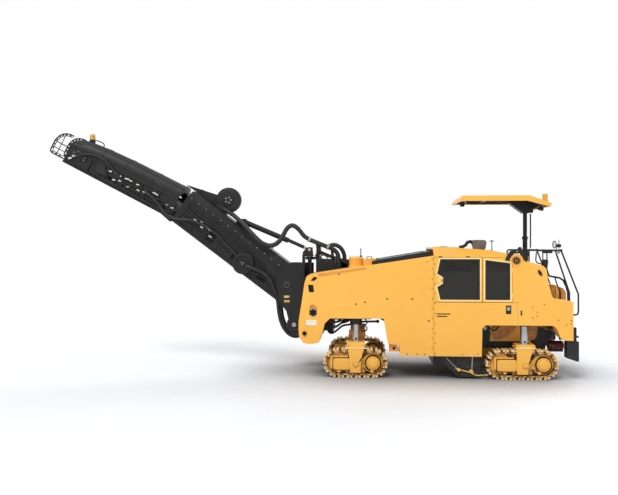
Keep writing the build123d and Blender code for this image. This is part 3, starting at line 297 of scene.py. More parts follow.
def slope(x, z, tilt):
    """Frame of a sloping section: along it, across it and square to it."""
    c, s = math.cos(math.radians(tilt)), math.sin(math.radians(tilt))
    return lambda a, y, b: (x + a * c - b * s, y, z + a * s + b * c)


TILT_X, TILT_Z = 4.85, 1.85    # axis the conveyor tilts on
UP, OUT = (0, 0, 1), (0, 1, 0)
SLEW_X = 4.38                  # axis the slewing frame turns on
POST_X = -0.272                # telescopic post of the canopy
FRONT_LEG_X, REAR_LEG_X = 3.346, -0.060
TRACK_Y, TRACK_HALF = 0.95, 0.14
MAIN = slope(TILT_X, TILT_Z, 36.8)
HEAD = slope(7.4117, 3.2669, 27.5)


def arch(outer, inner):
    """Arched strip's cross section from its left half: outer points going down, inner ones going up."""
    return [(-y, z) for y, z in outer[::-1]] + outer + inner + [(-y, z) for y, z in inner[::-1] if y]


# radians between the bolts of a circle, by their number
BOLT_STEP = {3: 2.1, 5: 1.257, 6: 1.047, 8: 0.785, 12: 0.5236}


class Kit:
    """Gathers plates, rods and rings into one mesh piece."""

    def __init__(self, place=level, side=1):
        self.bm = bmesh.new()
        self.place = place
        self.side = side

    def flip(self, p):
        return (p[0], self.side * p[1], p[2])

    def sides(self):
        """Repeats the loop's body for the left, then mirrored for the right."""
        for self.side in (1, -1):
            yield
        self.side = 1

    def skin(self, rings, mat=0, caps=True, loop=False):
        rows = [[self.bm.verts.new(P(*self.place(*self.flip(p)))) for p in ring] for ring in rings]
        n = len(rows[0])
        pairs = list(zip(rows, rows[1:]))
        if loop:
            pairs.append((rows[-1], rows[0]))
        faces = []
        for a, b in pairs:
            for i in range(n):
                faces.append(self.bm.faces.new((a[i], a[(i + 1) % n], b[(i + 1) % n], b[i])))
        if caps and not loop:
            faces.append(self.bm.faces.new(rows[0][::-1]))
            faces.append(self.bm.faces.new(rows[-1]))
        for f in faces:
            f.material_index = mat
            f.smooth = True

    def plate(self, pts, y0, y1, mat=0):
        """Side profile from (x, z) points, between y0 and y1."""
        self.skin([[(x, y, z) for x, z in pts] for y in (y0, y1)], mat)

    def across(self, pts, x0, x1, mat=0):
        """Cross section from (y, z) points, between x0 and x1."""
        self.skin([[(x, y, z) for y, z in pts] for x in (x0, x1)], mat)

    def box(self, x0, x1, y0, y1, z0, z1, mat=0):
        self.plate([(x0, z0), (x1, z0), (x1, z1), (x0, z1)], y0, y1, mat)

    def ring(self, centre, axis, r, n):
        centre = Vector(self.flip(centre))
        axis = Vector(self.flip(axis)).normalized()
        u = axis.orthogonal().normalized()
        v = axis.cross(u)
        turns = [2 * math.pi * i / n for i in range(n)]
        return [self.flip(centre + u * (r * math.cos(a)) + v * (r * math.sin(a))) for a in turns]

    def rod(self, a, b, r, mat=0, n=12, r2=None):
        axis = Vector(b) - Vector(a)
        self.skin([self.ring(a, axis, r, n), self.ring(b, axis, r if r2 is None else r2, n)], mat)

    def turned(self, a, axis, profile, mat=0, n=24):
        """Round body from (distance along the axis, radius) pairs."""
        axis = Vector(axis).normalized()
        self.skin([self.ring(Vector(a) + axis * d, axis, max(r, 0.0005), n) for d, r in profile], mat)

    def disc(self, a, r, h, mat=0, n=24):
        """Flat round boss standing h out of a side."""
        self.turned(a, OUT, ((0, r), (h, r)), mat, n)

    def bar(self, pts, y, r, mat=0, n=10):
        """Bent tube in one side plane, through (x, z) points."""
        self.pipe([(x, y, z) for x, z in pts], r, mat, n)

    def pipe(self, pts, r, mat=0, n=10):
        """Bent tube through the points, mitred at the bends."""
        pts = [Vector(self.flip(p)) for p in pts]
        rings = []
        u = None
        turns = [2 * math.pi * i / n for i in range(n)]
        for i, p in enumerate(pts):
            before = (p - pts[i - 1]).normalized() if i else (pts[1] - p).normalized()
            after = (pts[i + 1] - p).normalized() if i < len(pts) - 1 else before
            t = (before + after).normalized()
            if u is None:
                u = t.orthogonal().normalized()
            u = (u - t * u.dot(t)).normalized()
            v = t.cross(u)
            rings.append([self.flip(p + u * (r * math.cos(a)) + v * (r * math.sin(a))) for a in turns])
        self.skin(rings, mat)

    def bolts(self, pts, y, r=0.012, mat=0, h=0.006):
        """Bolt heads on the outer face of a side, at (x, z) points."""
        sunk = 0.004
        for x, z in pts:
            profile = ((0, r), (h * 0.6 + sunk, r), (h + sunk, r * 0.7))
            self.turned((x, y - sunk, z), OUT, profile, mat, 6)

    def circle(self, x, z, radius, count, y0, y1, r, mat=0, n=6):
        """Bolt heads between y0 and y1 on a circle."""
        for i in range(count):
            a = i * BOLT_STEP[count]
            bx, bz = x + radius * math.cos(a), z + radius * math.sin(a)
            self.rod((bx, y0, bz), (bx, y1, bz), r, mat, n)

    def done(self, name, body, mats, bevel=0.003, segments=2):
        bmesh.ops.recalc_face_normals(self.bm, faces=self.bm.faces)
        mesh = bpy.data.meshes.new(name)
        self.bm.to_mesh(mesh)
        self.bm.free()
        for m in mats:
            mesh.materials.append(m)
        mesh.set_sharp_from_angle(angle=math.radians(34))
        obj = bpy.data.objects.new(name, mesh)
        scene.collection.objects.link(obj)
        if bevel:
            mod = obj.modifiers.new("bevel", "BEVEL")
            mod.width = bevel
            mod.segments = segments
            mod.limit_method = "ANGLE"
            mod.angle_limit = math.radians(40)
            mod.harden_normals = True
        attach(obj, body)
        return obj


def tube(name, routes, place, side):
    """Smooth rubber curves along given points, each with its radius."""
    curve = bpy.data.curves.new(name, "CURVE")
    curve.dimensions = "3D"
    curve.bevel_depth = 1.0
    curve.bevel_resolution = 3
    curve.resolution_u = 6
    curve.use_fill_caps = True
    for r, pts in routes:
        spline = curve.splines.new("NURBS")
        spline.points.add(len(pts) - 1)
        for point, (x, y, z) in zip(spline.points, pts):
            point.co = (*P(*place(x, side * y, z)), 1.0)
            point.radius = r
        spline.order_u = 3
        spline.use_endpoint_u = True
    curve.materials.append(RUBBER)
    obj = bpy.data.objects.new(name, curve)
    scene.collection.objects.link(obj)
    return obj


def hose(name, body, routes, place=level, side=1):
    """Hoses held at both ends on one body."""
    obj = tube(name, routes, place, side)
    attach(obj, body)


def flex_hose(name, start, end, routes, side=1):
    """Hoses that cross a joint, made into one fixed mesh; start and end are not used."""
    curve = tube(name + "_curve", routes, level, side)
    graph = bpy.context.evaluated_depsgraph_get()
    mesh = bpy.data.meshes.new_from_object(curve.evaluated_get(graph))
    bpy.data.objects.remove(curve)
    for poly in mesh.polygons:
        poly.use_smooth = True
    obj = bpy.data.objects.new(name, mesh)
    scene.collection.objects.link(obj)
    hold_a, hold_b = (P(x, side * y, z) for x, y, z in (start, end))
    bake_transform(obj)


def on(place, route):
    """Route given in a sloping section's frame, as level points."""
    return [place(*p) for p in route]


# ------------------------------------------------------------------ front body: cheeks


def top_z(x):
    """Height of the front body's sloping top."""
    return 2.500 - 0.1502 * (x - 1.770)


for hand, s in SIDES:
    k = Kit(side=s)
    # openings and fittings of the nose; the openings are near-black plates of painted shade
    k.plate([(4.20, 1.75), (4.305, 1.75), (4.325, 1.90), (4.22, 1.90)], ROOT, PROUD, 1)
    k.plate([(4.27, 1.985), (4.20, 2.07), (4.125, 2.045), (4.195, 1.98)], ROOT, PROUD, 1)
    k.disc((4.40, ROOT, 0.90), 0.045, 0.014, 1, 20)
    port_x, port_z = 4.22, 1.33
    k.turned((port_x, 1.13, port_z), OUT, ((0, 0.085), (0.018, 0.085), (0.026, 0.07)), 0, 24)
    k.turned((port_x, ROOT, port_z), OUT, ((0, 0.055), (0.024, 0.055), (0.028, 0.03)), 1, 20)
    k.circle(port_x, port_z, 0.068, 6, HALF, HALF + 0.014, 0.011, 2)
    k.plate([(4.13, 1.385), (4.30, 1.40), (4.285, 1.47), (4.225, 1.50), (4.16, 1.47)], ROOT, PROUD, 3)
    k.box(4.15, 4.37, ROOT, 1.153, 1.07, 1.18, 4)
    # fixings on the wide face
    for x, z in ((3.34, 1.51), (3.16, 1.55), (2.71, 1.62), (2.20, 1.62), (1.87, 1.18), (3.69, 2.12)):
        k.turned((x, 1.145, z), OUT, ((0, 0.017), (0.008, 0.017), (0.009, 0.008)), 1, 12)
    k.bolts([(2.10, 0.50), (1.95, 0.50), (2.30, 0.50)], HALF, 0.014, 1)
    # folded bracket behind the front leg, in orange painted shade
    k.plate([(2.46, 0.545), (2.67, 0.545), (2.67, 0.68), (2.50, 0.685)], 0.98, 1.10, 5)
    k.disc((2.57, 1.09, 0.61), 0.03, 0.013, 1, 16)
    k.done(f"nose_fittings_{hand}", "frame", [BLACK, DARK, STEEL, BROWN_SHADE, WHITE, ORANGE_SHADE], 0.002)
    # bevelled strip along the sloping top edge, in orange painted shade
    k = Kit(side=s)
    k.plate([(4.13, 2.125), (4.10, 2.065), (3.12, 2.225), (3.15, 2.262)], 1.135, PROUD)
    k.done(f"cheek_strip_{hand}", "frame", [ORANGE_SHADE], 0.003)

# bolted seams of the side panels, their bolts, latch plates and hinges
for hand, s in SIDES:
    k = Kit(side=s)
    k.bolts([(1.80 if i % 2 else 1.74, 0.53 + i * 0.1) for i in range(20)], HALF, 0.011)
    k.box(1.767, 1.773, ROOT, 1.1512, 0.47, 2.49, 1)
    k.box(0.099, 0.102, ROOT, 1.1512, 1.10, 1.56, 1)
    k.box(0.10, 1.77, ROOT, 1.1512, 1.556, 1.563, 1)
    k.bolts([(-0.19, 1.47), (-0.19, 1.25), (-0.28, 1.37), (-0.28, 1.29), (-0.70, 1.21), (-0.86, 1.12),
        (-0.95, 1.21), (-0.95, 1.14), (-0.42, 1.52), (1.9, 2.38)], HALF, 0.012)
    k.box(0.015, 0.045, ROOT, 1.1535, 1.30, 1.40)
    k.box(1.44, 1.71, ROOT, 1.1525, 1.31, 1.332)
    k.box(1.50, 1.71, ROOT, 1.1525, 1.262, 1.284)
    # door latch plate under the rear door
    k.box(0.23, 0.335, ROOT, 1.156, 1.33, 1.50)
    k.box(0.25, 0.315, ROOT, 1.160, 1.40, 1.47, 2)
    k.bolts([(1.76, 0.48), (1.2, 0.50), (0.9, 0.52)], HALF, 0.012)
    # hinges of the doors, in lighter yellow as a painted highlight
    for x, zs in ((0.823, (1.70, 2.30)), (0.21, (1.70, 2.20))):
        for z in zs:
            k.rod((x, 1.150, z - 0.05), (x, 1.150, z + 0.05), 0.011, 3)
    k.done(f"panel_fixings_{hand}", "frame", [BLACK, DARK, STEEL, YELLOW_HIGHLIGHT], 0.0015)

# ------------------------------------------------------------------ window seals and handles
WINDOWS = {
    "front": [(0.861, 1.62), (1.63, 1.62), (1.69, 1.86), (1.575, 1.93), (1.575, 2.07), (1.69, 2.14),
        (1.63, 2.42), (0.861, 2.42)],
    "rear": [(0.262, 1.62), (0.732, 1.62), (0.732, 2.402), (0.262, 2.342)],
}
PANE_SHADES = {
    "front": [(0.879, 2.185), (1.668, 2.185), (1.617, 2.402), (0.879, 2.402)],
    "rear": [(0.280, 2.185), (0.714, 2.185), (0.714, 2.380), (0.280, 2.326)],
}


def inset(pts, d):
    """Outline moved inwards by d; the points run anticlockwise."""
    out = []
    n = len(pts)
    for i in range(n):
        a, b, c = (Vector(pts[j % n]) for j in (i - 1, i, i + 1))
        n1 = Vector((-(b - a).y, (b - a).x)).normalized()
        n2 = Vector((-(c - b).y, (c - b).x)).normalized()
        m = (n1 + n2).normalized()
        out.append(tuple(b + m * (d / max(0.3, m.dot(n1)))))
    return out


for hand, s in SIDES:
    for end, pts in WINDOWS.items():
        k = Kit(side=s)
        outer, inner = inset(pts, -0.012), inset(pts, 0.018)
        rim = inset(pts, -0.036)
        seal = ((outer, 1.146), (outer, 1.1535), (inner, 1.1535), (inner, 1.120))
        # pale lip round the seal, a painted highlight
        lip = ((rim, 1.147), (rim, 1.1515), (outer, 1.1530), (outer, 1.147))
        for shape, mat in ((seal, 0), (lip, 3)):
            k.skin([[(x, y, z) for x, z in ring] for ring, y in shape], mat, caps=False, loop=True)
        if end == "front":
            # handle plate in lighter yellow, a painted highlight
            k.plate([(1.59, 1.955), (1.70, 1.955), (1.70, 2.045), (1.59, 2.045)], 1.148, 1.158, 1)
            k.pipe([(1.61, 1.156, 1.97), (1.61, 1.172, 1.985), (1.61, 1.172, 2.015), (1.61, 1.156, 2.03)],
                0.006)
        # painted shade along the pane's top, mottled brown as a painted reflection
        pane_low, pane_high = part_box(f"pane_{end}_{hand}")
        face = max(abs(pane_low.y), abs(pane_high.y))
        k.plate(PANE_SHADES[end], face - 0.001, face + 0.0015, 2)
        k.done(f"window_seal_{end}_{hand}", f"door_{end}_{hand}", [RUBBER, YELLOW_HIGHLIGHT, PANE_SHADE, PALE_HIGHLIGHT],
            0.002)

# ------------------------------------------------------------------ hood, round housings, exhaust
for hand, s in SIDES:
    k = Kit(side=s)
    # ring lamp housing in the arch, with a hexagonal recess in brown and near-black painted shade
    lamp = (0.129, 1.11, 2.403)
    k.turned(lamp, OUT, ((0, 0.124), (0.040, 0.124), (0.050, 0.114), (0.050, 0.098), (0.044, 0.092)), 0,
        36)
    k.turned(lamp, OUT, ((0, 0.094), (0.046, 0.094), (0.050, 0.086), (0.050, 0.072), (0.042, 0.066)), 1,
        24)
    k.disc(lamp, 0.068, 0.045, 3, 24)
    for a in range(6):
        t = math.radians(60 * a)
        hub = Vector(lamp) + Vector((0, 0.047, 0))
        k.rod(hub, hub + 0.070 * Vector((math.cos(t), 0, math.sin(t))), 0.006, 1, 6)
    k.disc(lamp, 0.026, 0.052, 2, 6)
    # tilted oval recess in the rear panel: stacked plates in yellow, brown and near-black painted shade
    for grow, deep, m in ((1.35, 0.0015, 0), (1.0, 0.0030, 1), (0.66, 0.0045, 3)):
        oval = []
        for a in range(24):
            u, w = 0.044 * grow * math.cos(a * 0.2618), 0.088 * grow * math.sin(a * 0.2618)
            oval.append((-0.335 + u * 0.86 + w * 0.5, 2.158 - u * 0.5 + w * 0.86))
        k.plate(oval, ROOT, HALF + deep, m)
    k.done(f"round_housings_{hand}", "frame", [YELLOW, BROWN_SHADE, BRONZE, TRACK_SHADE], 0.002)

# black arm over the left arch, with a lamp on it
k = Kit()
arm = [(0.355, 2.405), (0.32, 2.50), (0.235, 2.605), (0.18, 2.628), (0.03, 2.628), (-0.045, 2.555),
    (-0.085, 2.385), (-0.045, 2.38), (0.0, 2.50), (0.05, 2.545), (0.175, 2.545), (0.235, 2.48),
    (0.275, 2.40)]
k.plate(arm, 1.08, 1.166)
k.turned((0.06, 1.09, 2.640), OUT, ((0, 0.036), (0.06, 0.040), (0.07, 0.028)), 0, 16)
k.disc((0.115, 1.16, 2.588), 0.016, 0.012, 2, 12)
# brace at the post's side
k.plate([(-0.10, 2.47), (-0.04, 2.47), (-0.05, 2.56), (-0.11, 2.56)], 1.0, 1.04)
k.done("arch_arm_left", "frame", [BLACK, BLACK_HIGHLIGHT, STEEL], 0.006)

# foot and clamps of the canopy's post
k = Kit()
k.box(-0.345, -0.185, -0.11, 0.11, 2.43, 2.60)
k.box(-0.365, -0.345, -0.05, 0.05, 2.36, 2.56)
k.box(-0.325, -0.22, 0.105, 0.125, 2.37, 2.47, 1)
k.done("post_foot", "frame", [BLACK, YELLOW], 0.006)

k = Kit()
# seams and latches of the hood
for _ in k.sides():
    k.skin([[(0.955, 0.915, 2.655), (0.965, 0.915, 2.655), (0.865, 1.153, 2.497), (0.855, 1.153, 2.497)],
        [(0.955, 0.915, 2.648), (0.965, 0.915, 2.648), (0.865, 1.145, 2.487), (0.855, 1.145, 2.487)]])
    for x in (1.05, 1.6):
        k.box(x, x + 0.07, 1.148, 1.156, 2.470, 2.488, 1)
k.done("hood_seams", "frame", [DARK, BLACK], 0.0)
k = Kit()
# louvres of the hood, and the cover between them
for i in range(15):
    y = -0.56 + i * 0.08
    if not 0.05 < y < 0.55:
        k.skin([[(1.18, y, 2.652), (1.66, y, 2.667), (1.66, y + 0.05, 2.667), (1.18, y + 0.05, 2.652)],
            [(1.20, y + 0.012, 2.670), (1.64, y + 0.012, 2.684), (1.64, y + 0.045, 2.672),
            (1.20, y + 0.045, 2.658)]])
k.plate([(1.40, 2.655), (1.58, 2.66), (1.56, 2.69), (1.42, 2.685)], 0.20, 0.42, 1)
k.done("hood_louvres", "frame", [YELLOW, BLACK], 0.003)

k = Kit()
# exhaust box with its slots, the top ones near-black strips of painted shade, and the pipe that leads
# into it
k.plate([(0.655, 2.60), (0.845, 2.625), (0.905, 2.795), (0.880, 2.822), (0.640, 2.818), (0.618, 2.76)],
    0.10, 0.505)
for i in range(4):
    y = 0.14 + i * 0.11
    k.plate([(0.640, 2.65), (0.650, 2.64), (0.640, 2.80), (0.622, 2.78)], y, y + 0.05)
for i in range(3):
    y = 0.16 + i * 0.11
    k.box(0.66, 0.86, y, y + 0.05, 2.818, 2.824, 1)
k.bar([(0.84, 2.755), (0.93, 2.79), (0.99, 2.775), (1.03, 2.715), (1.09, 2.68), (1.16, 2.675)], 0.30,
    0.036, 2, 16)
k.turned((1.12, 0.30, 2.665), UP, ((0, 0.06), (0.012, 0.06), (0.02, 0.045)), 2, 20)
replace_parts(k.done("exhaust", "frame", [MUFFLER, DARK, BLACK], 0.008), "exhaust_box")
k = Kit()
# T-shaped pin beside the exhaust
k.rod((0.53, 0.62, 2.58), (0.53, 0.62, 2.80), 0.009)
k.rod((0.49, 0.62, 2.80), (0.57, 0.62, 2.80), 0.011)
k.turned((0.53, 0.62, 2.57), UP, ((0, 0.028), (0.03, 0.028), (0.05, 0.012)), 0, 12)
k.done("hood_pin", "frame", [BLACK], 0.002)

# ------------------------------------------------------------------ things on the front body
k = Kit()
for _ in k.sides():
    # raised border and ribs of the sloping cover
    k.plate([(1.83, 2.572), (2.99, 2.378), (2.99, 2.394), (1.83, 2.588)], 1.00, 1.055)
for i in range(4):
    x = 1.95 + i * 0.3
    z = 2.584 - 0.1668 * (x - 1.81)
    k.box(x, x + 0.03, -1.0, 1.0, z - 0.02, z + 0.010)
for y in (-0.5, 0.5):
    k.pipe([(2.90, y - 0.07, 2.39), (2.90, y - 0.07, 2.425), (2.90, y + 0.07, 2.425),
        (2.90, y + 0.07, 2.39)], 0.008)
k.done("tank_cover_ribs", "frame", [BLACK], 0.004)

k = Kit()
# air cleaner: ribbed cap, its box and the rain pipe
cap_x, cap_y = 3.345, 0.62
k.turned((cap_x, cap_y, 2.24), UP, ((0, 0.162), (0.035, 0.162), (0.045, 0.150), (0.17, 0.150),
    (0.185, 0.158), (0.205, 0.158), (0.225, 0.140), (0.235, 0.05)), 0, 40)
k.plate([(2.94, 2.25), (3.19, 2.22), (3.19, 2.40), (3.16, 2.43), (2.98, 2.44), (2.94, 2.42)],
    cap_y - 0.12, cap_y + 0.12)
k.bar([(3.02, 2.43), (3.02, 2.47), (3.12, 2.47), (3.12, 2.42)], cap_y + 0.05, 0.01, 1)
k.rod((3.25, cap_y, 2.46), (3.25, cap_y, 2.65), 0.010, 1)
k.turned((3.25, cap_y, 2.465), UP, ((0, 0.03), (0.02, 0.03), (0.035, 0.014)), 1, 12)
for a in range(8):
    x, y = cap_x + 0.125 * math.cos(a * BOLT_STEP[8]), cap_y + 0.125 * math.sin(a * BOLT_STEP[8])
    k.rod((x, y, 2.465), (x, y, 2.477), 0.009, 1, 6)
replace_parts(k.done("filter_cap", "frame", [YELLOW, BLACK], 0.006), "air_cleaner")

k = Kit()
# deck between the cheeks: walkway plate and caps
for i in range(7):
    x = 3.0 + i * 0.12
    k.box(x, x + 0.05, -0.45, 0.45, top_z(x) - 0.01, top_z(x) + 0.012)
k.turned((3.65, -0.30, top_z(3.65) - 0.02), UP, ((0, 0.09), (0.07, 0.09), (0.08, 0.075)), 0, 24)
k.turned((3.45, -0.66, top_z(3.45) - 0.02), UP, ((0, 0.11), (0.09, 0.11), (0.11, 0.09)), 0, 24)
k.done("deck_fittings", "frame", [BLACK], 0.004)

# ------------------------------------------------------------------ wheel wells
for hand, s in SIDES:
    k = Kit(side=s)
    # guide collar on each front leg, with the tie rod
    k.turned((FRONT_LEG_X, TRACK_Y, 1.085), UP, ((0, 0.115), (0.01, 0.126), (0.09, 0.126), (0.13, 0.13)),
        0, 28)
    k.rod((3.28, 0.99, 1.135), (2.93, 1.03, 1.148), 0.022)
    k.turned((2.90, 1.03, 1.15), (1, 0, 0), ((-0.035, 0.012), (-0.02, 0.034), (0.02, 0.034),
        (0.035, 0.016)), 0, 14)
    k.box(3.03, 3.67, 0.60, 0.64, 1.15, 1.22)
    # block in brown painted shade behind the leg
    k.box(3.17, 3.50, 0.60, 0.64, 0.76, 0.93, 1)
    k.done(f"leg_collars_{hand}", "frame", [BLACK, BROWN_SHADE], 0.004)
    hose(f"well_hoses_{hand}", "frame", [
        (0.022, [(3.99, 0.50, 1.20), (3.98, 0.53, 1.02), (3.93, 0.55, 0.85), (3.85, 0.56, 0.84),
            (3.75, 0.56, 0.91), (3.63, 0.56, 1.02), (3.43, 0.56, 1.03), (3.36, 0.56, 1.14)]),
        (0.019, [(3.90, 0.50, 1.24), (3.93, 0.54, 1.10), (3.90, 0.56, 0.98), (3.80, 0.58, 0.97),
            (3.68, 0.58, 1.06), (3.52, 0.58, 1.09), (3.42, 0.58, 1.18)]),
        (0.014, [(3.92, 0.50, 1.24), (3.90, 0.52, 1.12), (3.80, 0.54, 1.06), (3.66, 0.54, 1.10),
            (3.50, 0.54, 1.20)]),
        (0.014, [(3.88, 0.50, 1.24), (3.84, 0.52, 1.16), (3.70, 0.58, 1.13), (3.60, 0.60, 1.20)]),
        (0.014, [(3.34, 0.64, 1.10), (3.26, 0.64, 1.07), (3.16, 0.64, 1.03), (3.11, 0.64, 0.96),
            (3.15, 0.64, 0.90), (3.24, 0.64, 0.90)]),
        (0.014, [(0.62, 0.60, 1.06), (0.56, 0.66, 0.95), (0.46, 0.66, 0.93), (0.38, 0.62, 1.04)]),
    ], side=s)
    k = Kit(side=s)
    # rear well: frame post, mudguard and the cooler's dark red housing
    k.plate([(0.74, 1.07), (0.62, 1.07), (0.53, 0.88), (0.58, 0.55), (0.74, 0.55)], 0.49, 0.515)
    k.turned((0.66, 0.51, 0.98), OUT, ((0, 0.045), (0.03, 0.045), (0.04, 0.03)), 3, 16)
    # plates in brown painted shade
    k.plate([(0.52, 1.06), (0.02, 1.06), (0.02, 0.98), (0.20, 0.80), (0.44, 0.72), (0.50, 0.86)], 0.49,
        0.50, 2)
    k.plate([(-0.23, 1.06), (-0.54, 1.06), (-0.54, 0.91), (-0.36, 0.73), (-0.23, 0.73)], 0.49, 0.50, 2)
    k.plate([(-0.44, 1.02), (-0.64, 0.93), (-0.68, 0.78), (-0.60, 0.70), (-0.58, 0.52), (-0.36, 0.50),
        (-0.35, 0.72), (-0.41, 0.80)], 0.49, 0.515)
    k.turned((-0.79, 0.50, 0.63), (1, 0, 0), ((-0.17, 0.05), (-0.15, 0.095), (0.14, 0.095), (0.17, 0.06)),
        1, 24)
    for x in (-0.90, -0.80, -0.70):
        k.turned((x, 0.50, 0.63), (1, 0, 0), ((0, 0.100), (0.02, 0.100)), 0, 24)
    k.box(-0.94, -0.62, 0.46, 0.54, 0.50, 0.545)
    # black sheet of painted shade at the foot of the well's inner wall
    k.box(-0.092, 0.670, 0.478, 0.488, 0.562, 0.701)
    k.done(f"well_machinery_{hand}", "frame", [BLACK, RED, BROWN_SHADE, WHITE], 0.006)

# ------------------------------------------------------------------ tracks


def loop_point(d, length, height, inside):
    """Point and outward direction at distance d along a track's loop."""
    r = height / 2 - inside
    straight = length - height
    arc = math.pi * r
    d %= 2 * straight + 2 * arc
    if d < straight:
        return (straight / 2 - d, -r), (0, -1)
    d -= straight
    if d < arc:
        a = -math.pi / 2 - d / r
        return (-straight / 2 + r * math.cos(a), r * math.sin(a)), (math.cos(a), math.sin(a))
    d -= arc
    if d < straight:
        return (-straight / 2 + d, r), (0, 1)
    d -= straight
    a = math.pi / 2 - d / r
    return (straight / 2 + r * math.cos(a), r * math.sin(a)), (math.cos(a), math.sin(a))


SHOE_T = 0.030
# end, leg x, track centre x, length, height, shoes
TRACKS = (("front", FRONT_LEG_X, 3.357, 1.313, 0.590, 18), ("rear", REAR_LEG_X, 0.0, 1.448, 0.600, 20))
# outline of one shoe: place along the pitch, height above the shoe's plate
SHOE = ((0.04, -0.010), (0.04, 0.016), (0.08, 0.029), (0.28, 0.030), (0.33, 0.010), (0.45, 0.008),
    (0.50, 0.029), (0.70, 0.030), (0.76, 0.016), (0.78, -0.010))
LUGS = ((0.09, 0.27), (0.51, 0.69))
LINK = ((-0.08, -0.044), (-0.08, -0.026), (0.14, -0.012), (0.30, -0.012), (0.36, -0.030), (0.46, -0.030),
    (0.52, -0.012), (0.62, -0.012), (0.80, -0.028), (0.80, -0.044), (0.66, -0.051), (0.08, -0.051))
for end, leg_x, centre, length, height, shoes in TRACKS:
    pitch = (2 * (length - height) + 2 * math.pi * (height / 2 - SHOE_T)) / shoes
    for hand, s in SIDES:
        k = Kit(side=s)
        y = TRACK_Y

        def at(i, share, rise):
            (x, z), out = loop_point((i + share) * pitch, length, height, SHOE_T)
            return centre + x + out[0] * rise, height / 2 + z + out[1] * rise

        # band of painted shade behind the shoes, where the chain runs
        loop = [[at(i, share, rise) for rise in (-0.056, -0.012)] for i in range(shoes)
            for share in (0, 0.5)]
        k.skin([[(a[0], y - 0.105, a[1]), (a[0], y + 0.105, a[1]), (b[0], y + 0.105, b[1]),
            (b[0], y - 0.105, b[1])] for a, b in loop], 3, loop=True)
        for i in range(shoes):
            # shoe with a painted highlight on its lugs, and a pair of chain links
            k.plate([at(i, share, rise) for share, rise in SHOE], y - TRACK_HALF, y + TRACK_HALF)
            for a, b in LUGS:
                k.plate([at(i, share, rise) for share, rise in ((a, 0.016), (a, 0.0305), (b, 0.0315),
                    (b, 0.016))], y - TRACK_HALF - 0.003, y + TRACK_HALF + 0.003, 1)
            for t in (1, -1):
                k.plate([at(i, share, rise) for share, rise in LINK], y + t * 0.106, y + t * 0.128, 2)
                (x, z), _ = loop_point((i + 0.80) * pitch, length, height, SHOE_T + 0.033)
                k.rod((centre + x, y + t * 0.104, height / 2 + z),
                    (centre + x, y + t * 0.136, height / 2 + z), 0.014, 1, 10)
        track = f"track_{end}_{hand}"
        shoe_mats = [TRACK, PALE_CREAM, CHAIN, TRACK_SHADE]
        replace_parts(k.done(f"track_shoes_{end}_{hand}", track, shoe_mats, 0.0), track)
        # details on the track's frame: hub, cover bolts, plate over the rollers
        k = Kit(side=s)
        outer = y + TRACK_HALF
        hub_x, idler_x = centre - (length - height) / 2, centre + (length - height) / 2
        zc = height / 2
        for t in (1, -1):
            face = y + t * (TRACK_HALF - 0.006)
            k.turned((hub_x, face - t * 0.02, zc), (0, t, 0),
                ((0, 0.168), (0.018, 0.168), (0.020, 0.160)), 2, 36)
            k.turned((hub_x, face - t * 0.02, zc), (0, t, 0),
                ((0, 0.142), (0.026, 0.142), (0.034, 0.132), (0.034, 0.105), (0.046, 0.095),
                (0.052, 0.07), (0.052, 0.02)), 0, 36)
            k.turned((idler_x, face - t * 0.03, zc), (0, t, 0), ((0, 0.13), (0.012, 0.13), (0.014, 0.12)),
                2, 36)
            for a in range(5):
                # bosses of the track rollers
                k.turned((centre + (a - 2) * 0.17, face - t * 0.03, zc - 0.165), (0, t, 0),
                    ((0, 0.036), (0.028, 0.036), (0.034, 0.026)), 3 if a % 2 else 0, 14)
            k.circle(hub_x, zc, 0.118, 12, face, face + t * 0.020, 0.009, 2)
            k.turned((leg_x, y + t * 0.176, zc - 0.01), (0, t, 0),
                ((0, 0.080), (0.008, 0.080), (0.012, 0.074)), 0, 24)
            k.circle(leg_x, zc - 0.01, 0.058, 8, y + t * 0.182, y + t * 0.194, 0.009, 2)
        # guard box over the idler's spring, framed by a box of painted shade
        bx0, bx1 = centre + 0.075 * length, centre + 0.345 * length
        k.box(bx0 - 0.016, bx1 + 0.016, outer - 0.03, outer + 0.001, zc - 0.152, zc + 0.118, 2)
        k.box(bx0, bx1, outer - 0.02, outer + 0.006, zc - 0.135, zc + 0.10)
        k.box(bx0 + 0.03, bx1 - 0.03, outer - 0.02, outer + 0.010, zc - 0.10, zc + 0.07)
        k.bolts([(bx0 + 0.02, zc + 0.085), (bx1 - 0.02, zc + 0.085), (bx0 + 0.02, zc - 0.12),
            (bx1 - 0.02, zc - 0.12)], outer + 0.006, 0.010, 2)
        # bolts on the yoke, a painted highlight along the edges of its top flange, and a strip of painted
        # shade down its slanting edge
        half, flange_z = (0.235, height + 0.017) if end == "front" else (0.205, height + 0.040)
        for t in (1, -1):
            yo = y + t * 0.18
            k.bolts([(leg_x - 0.15, height + 0.07), (leg_x + 0.15, height + 0.07)], yo, 0.010, 2)
            k.box(leg_x - half, leg_x + half, yo - t * 0.03, yo + t * 0.012, flange_z - 0.008,
                flange_z + 0.010, 4)
            k.plate([(leg_x - 0.02, zc - 0.02), (leg_x - 0.05, zc - 0.02), (leg_x - 0.145, zc + 0.13),
                (leg_x - 0.13, zc + 0.14)], yo - t * 0.01, yo + t * 0.003, 2)
        k.done(f"track_hub_{end}_{hand}", track, [YELLOW, BLACK, TRACK_SHADE, CHAIN, PALE_HIGHLIGHT], 0.004)
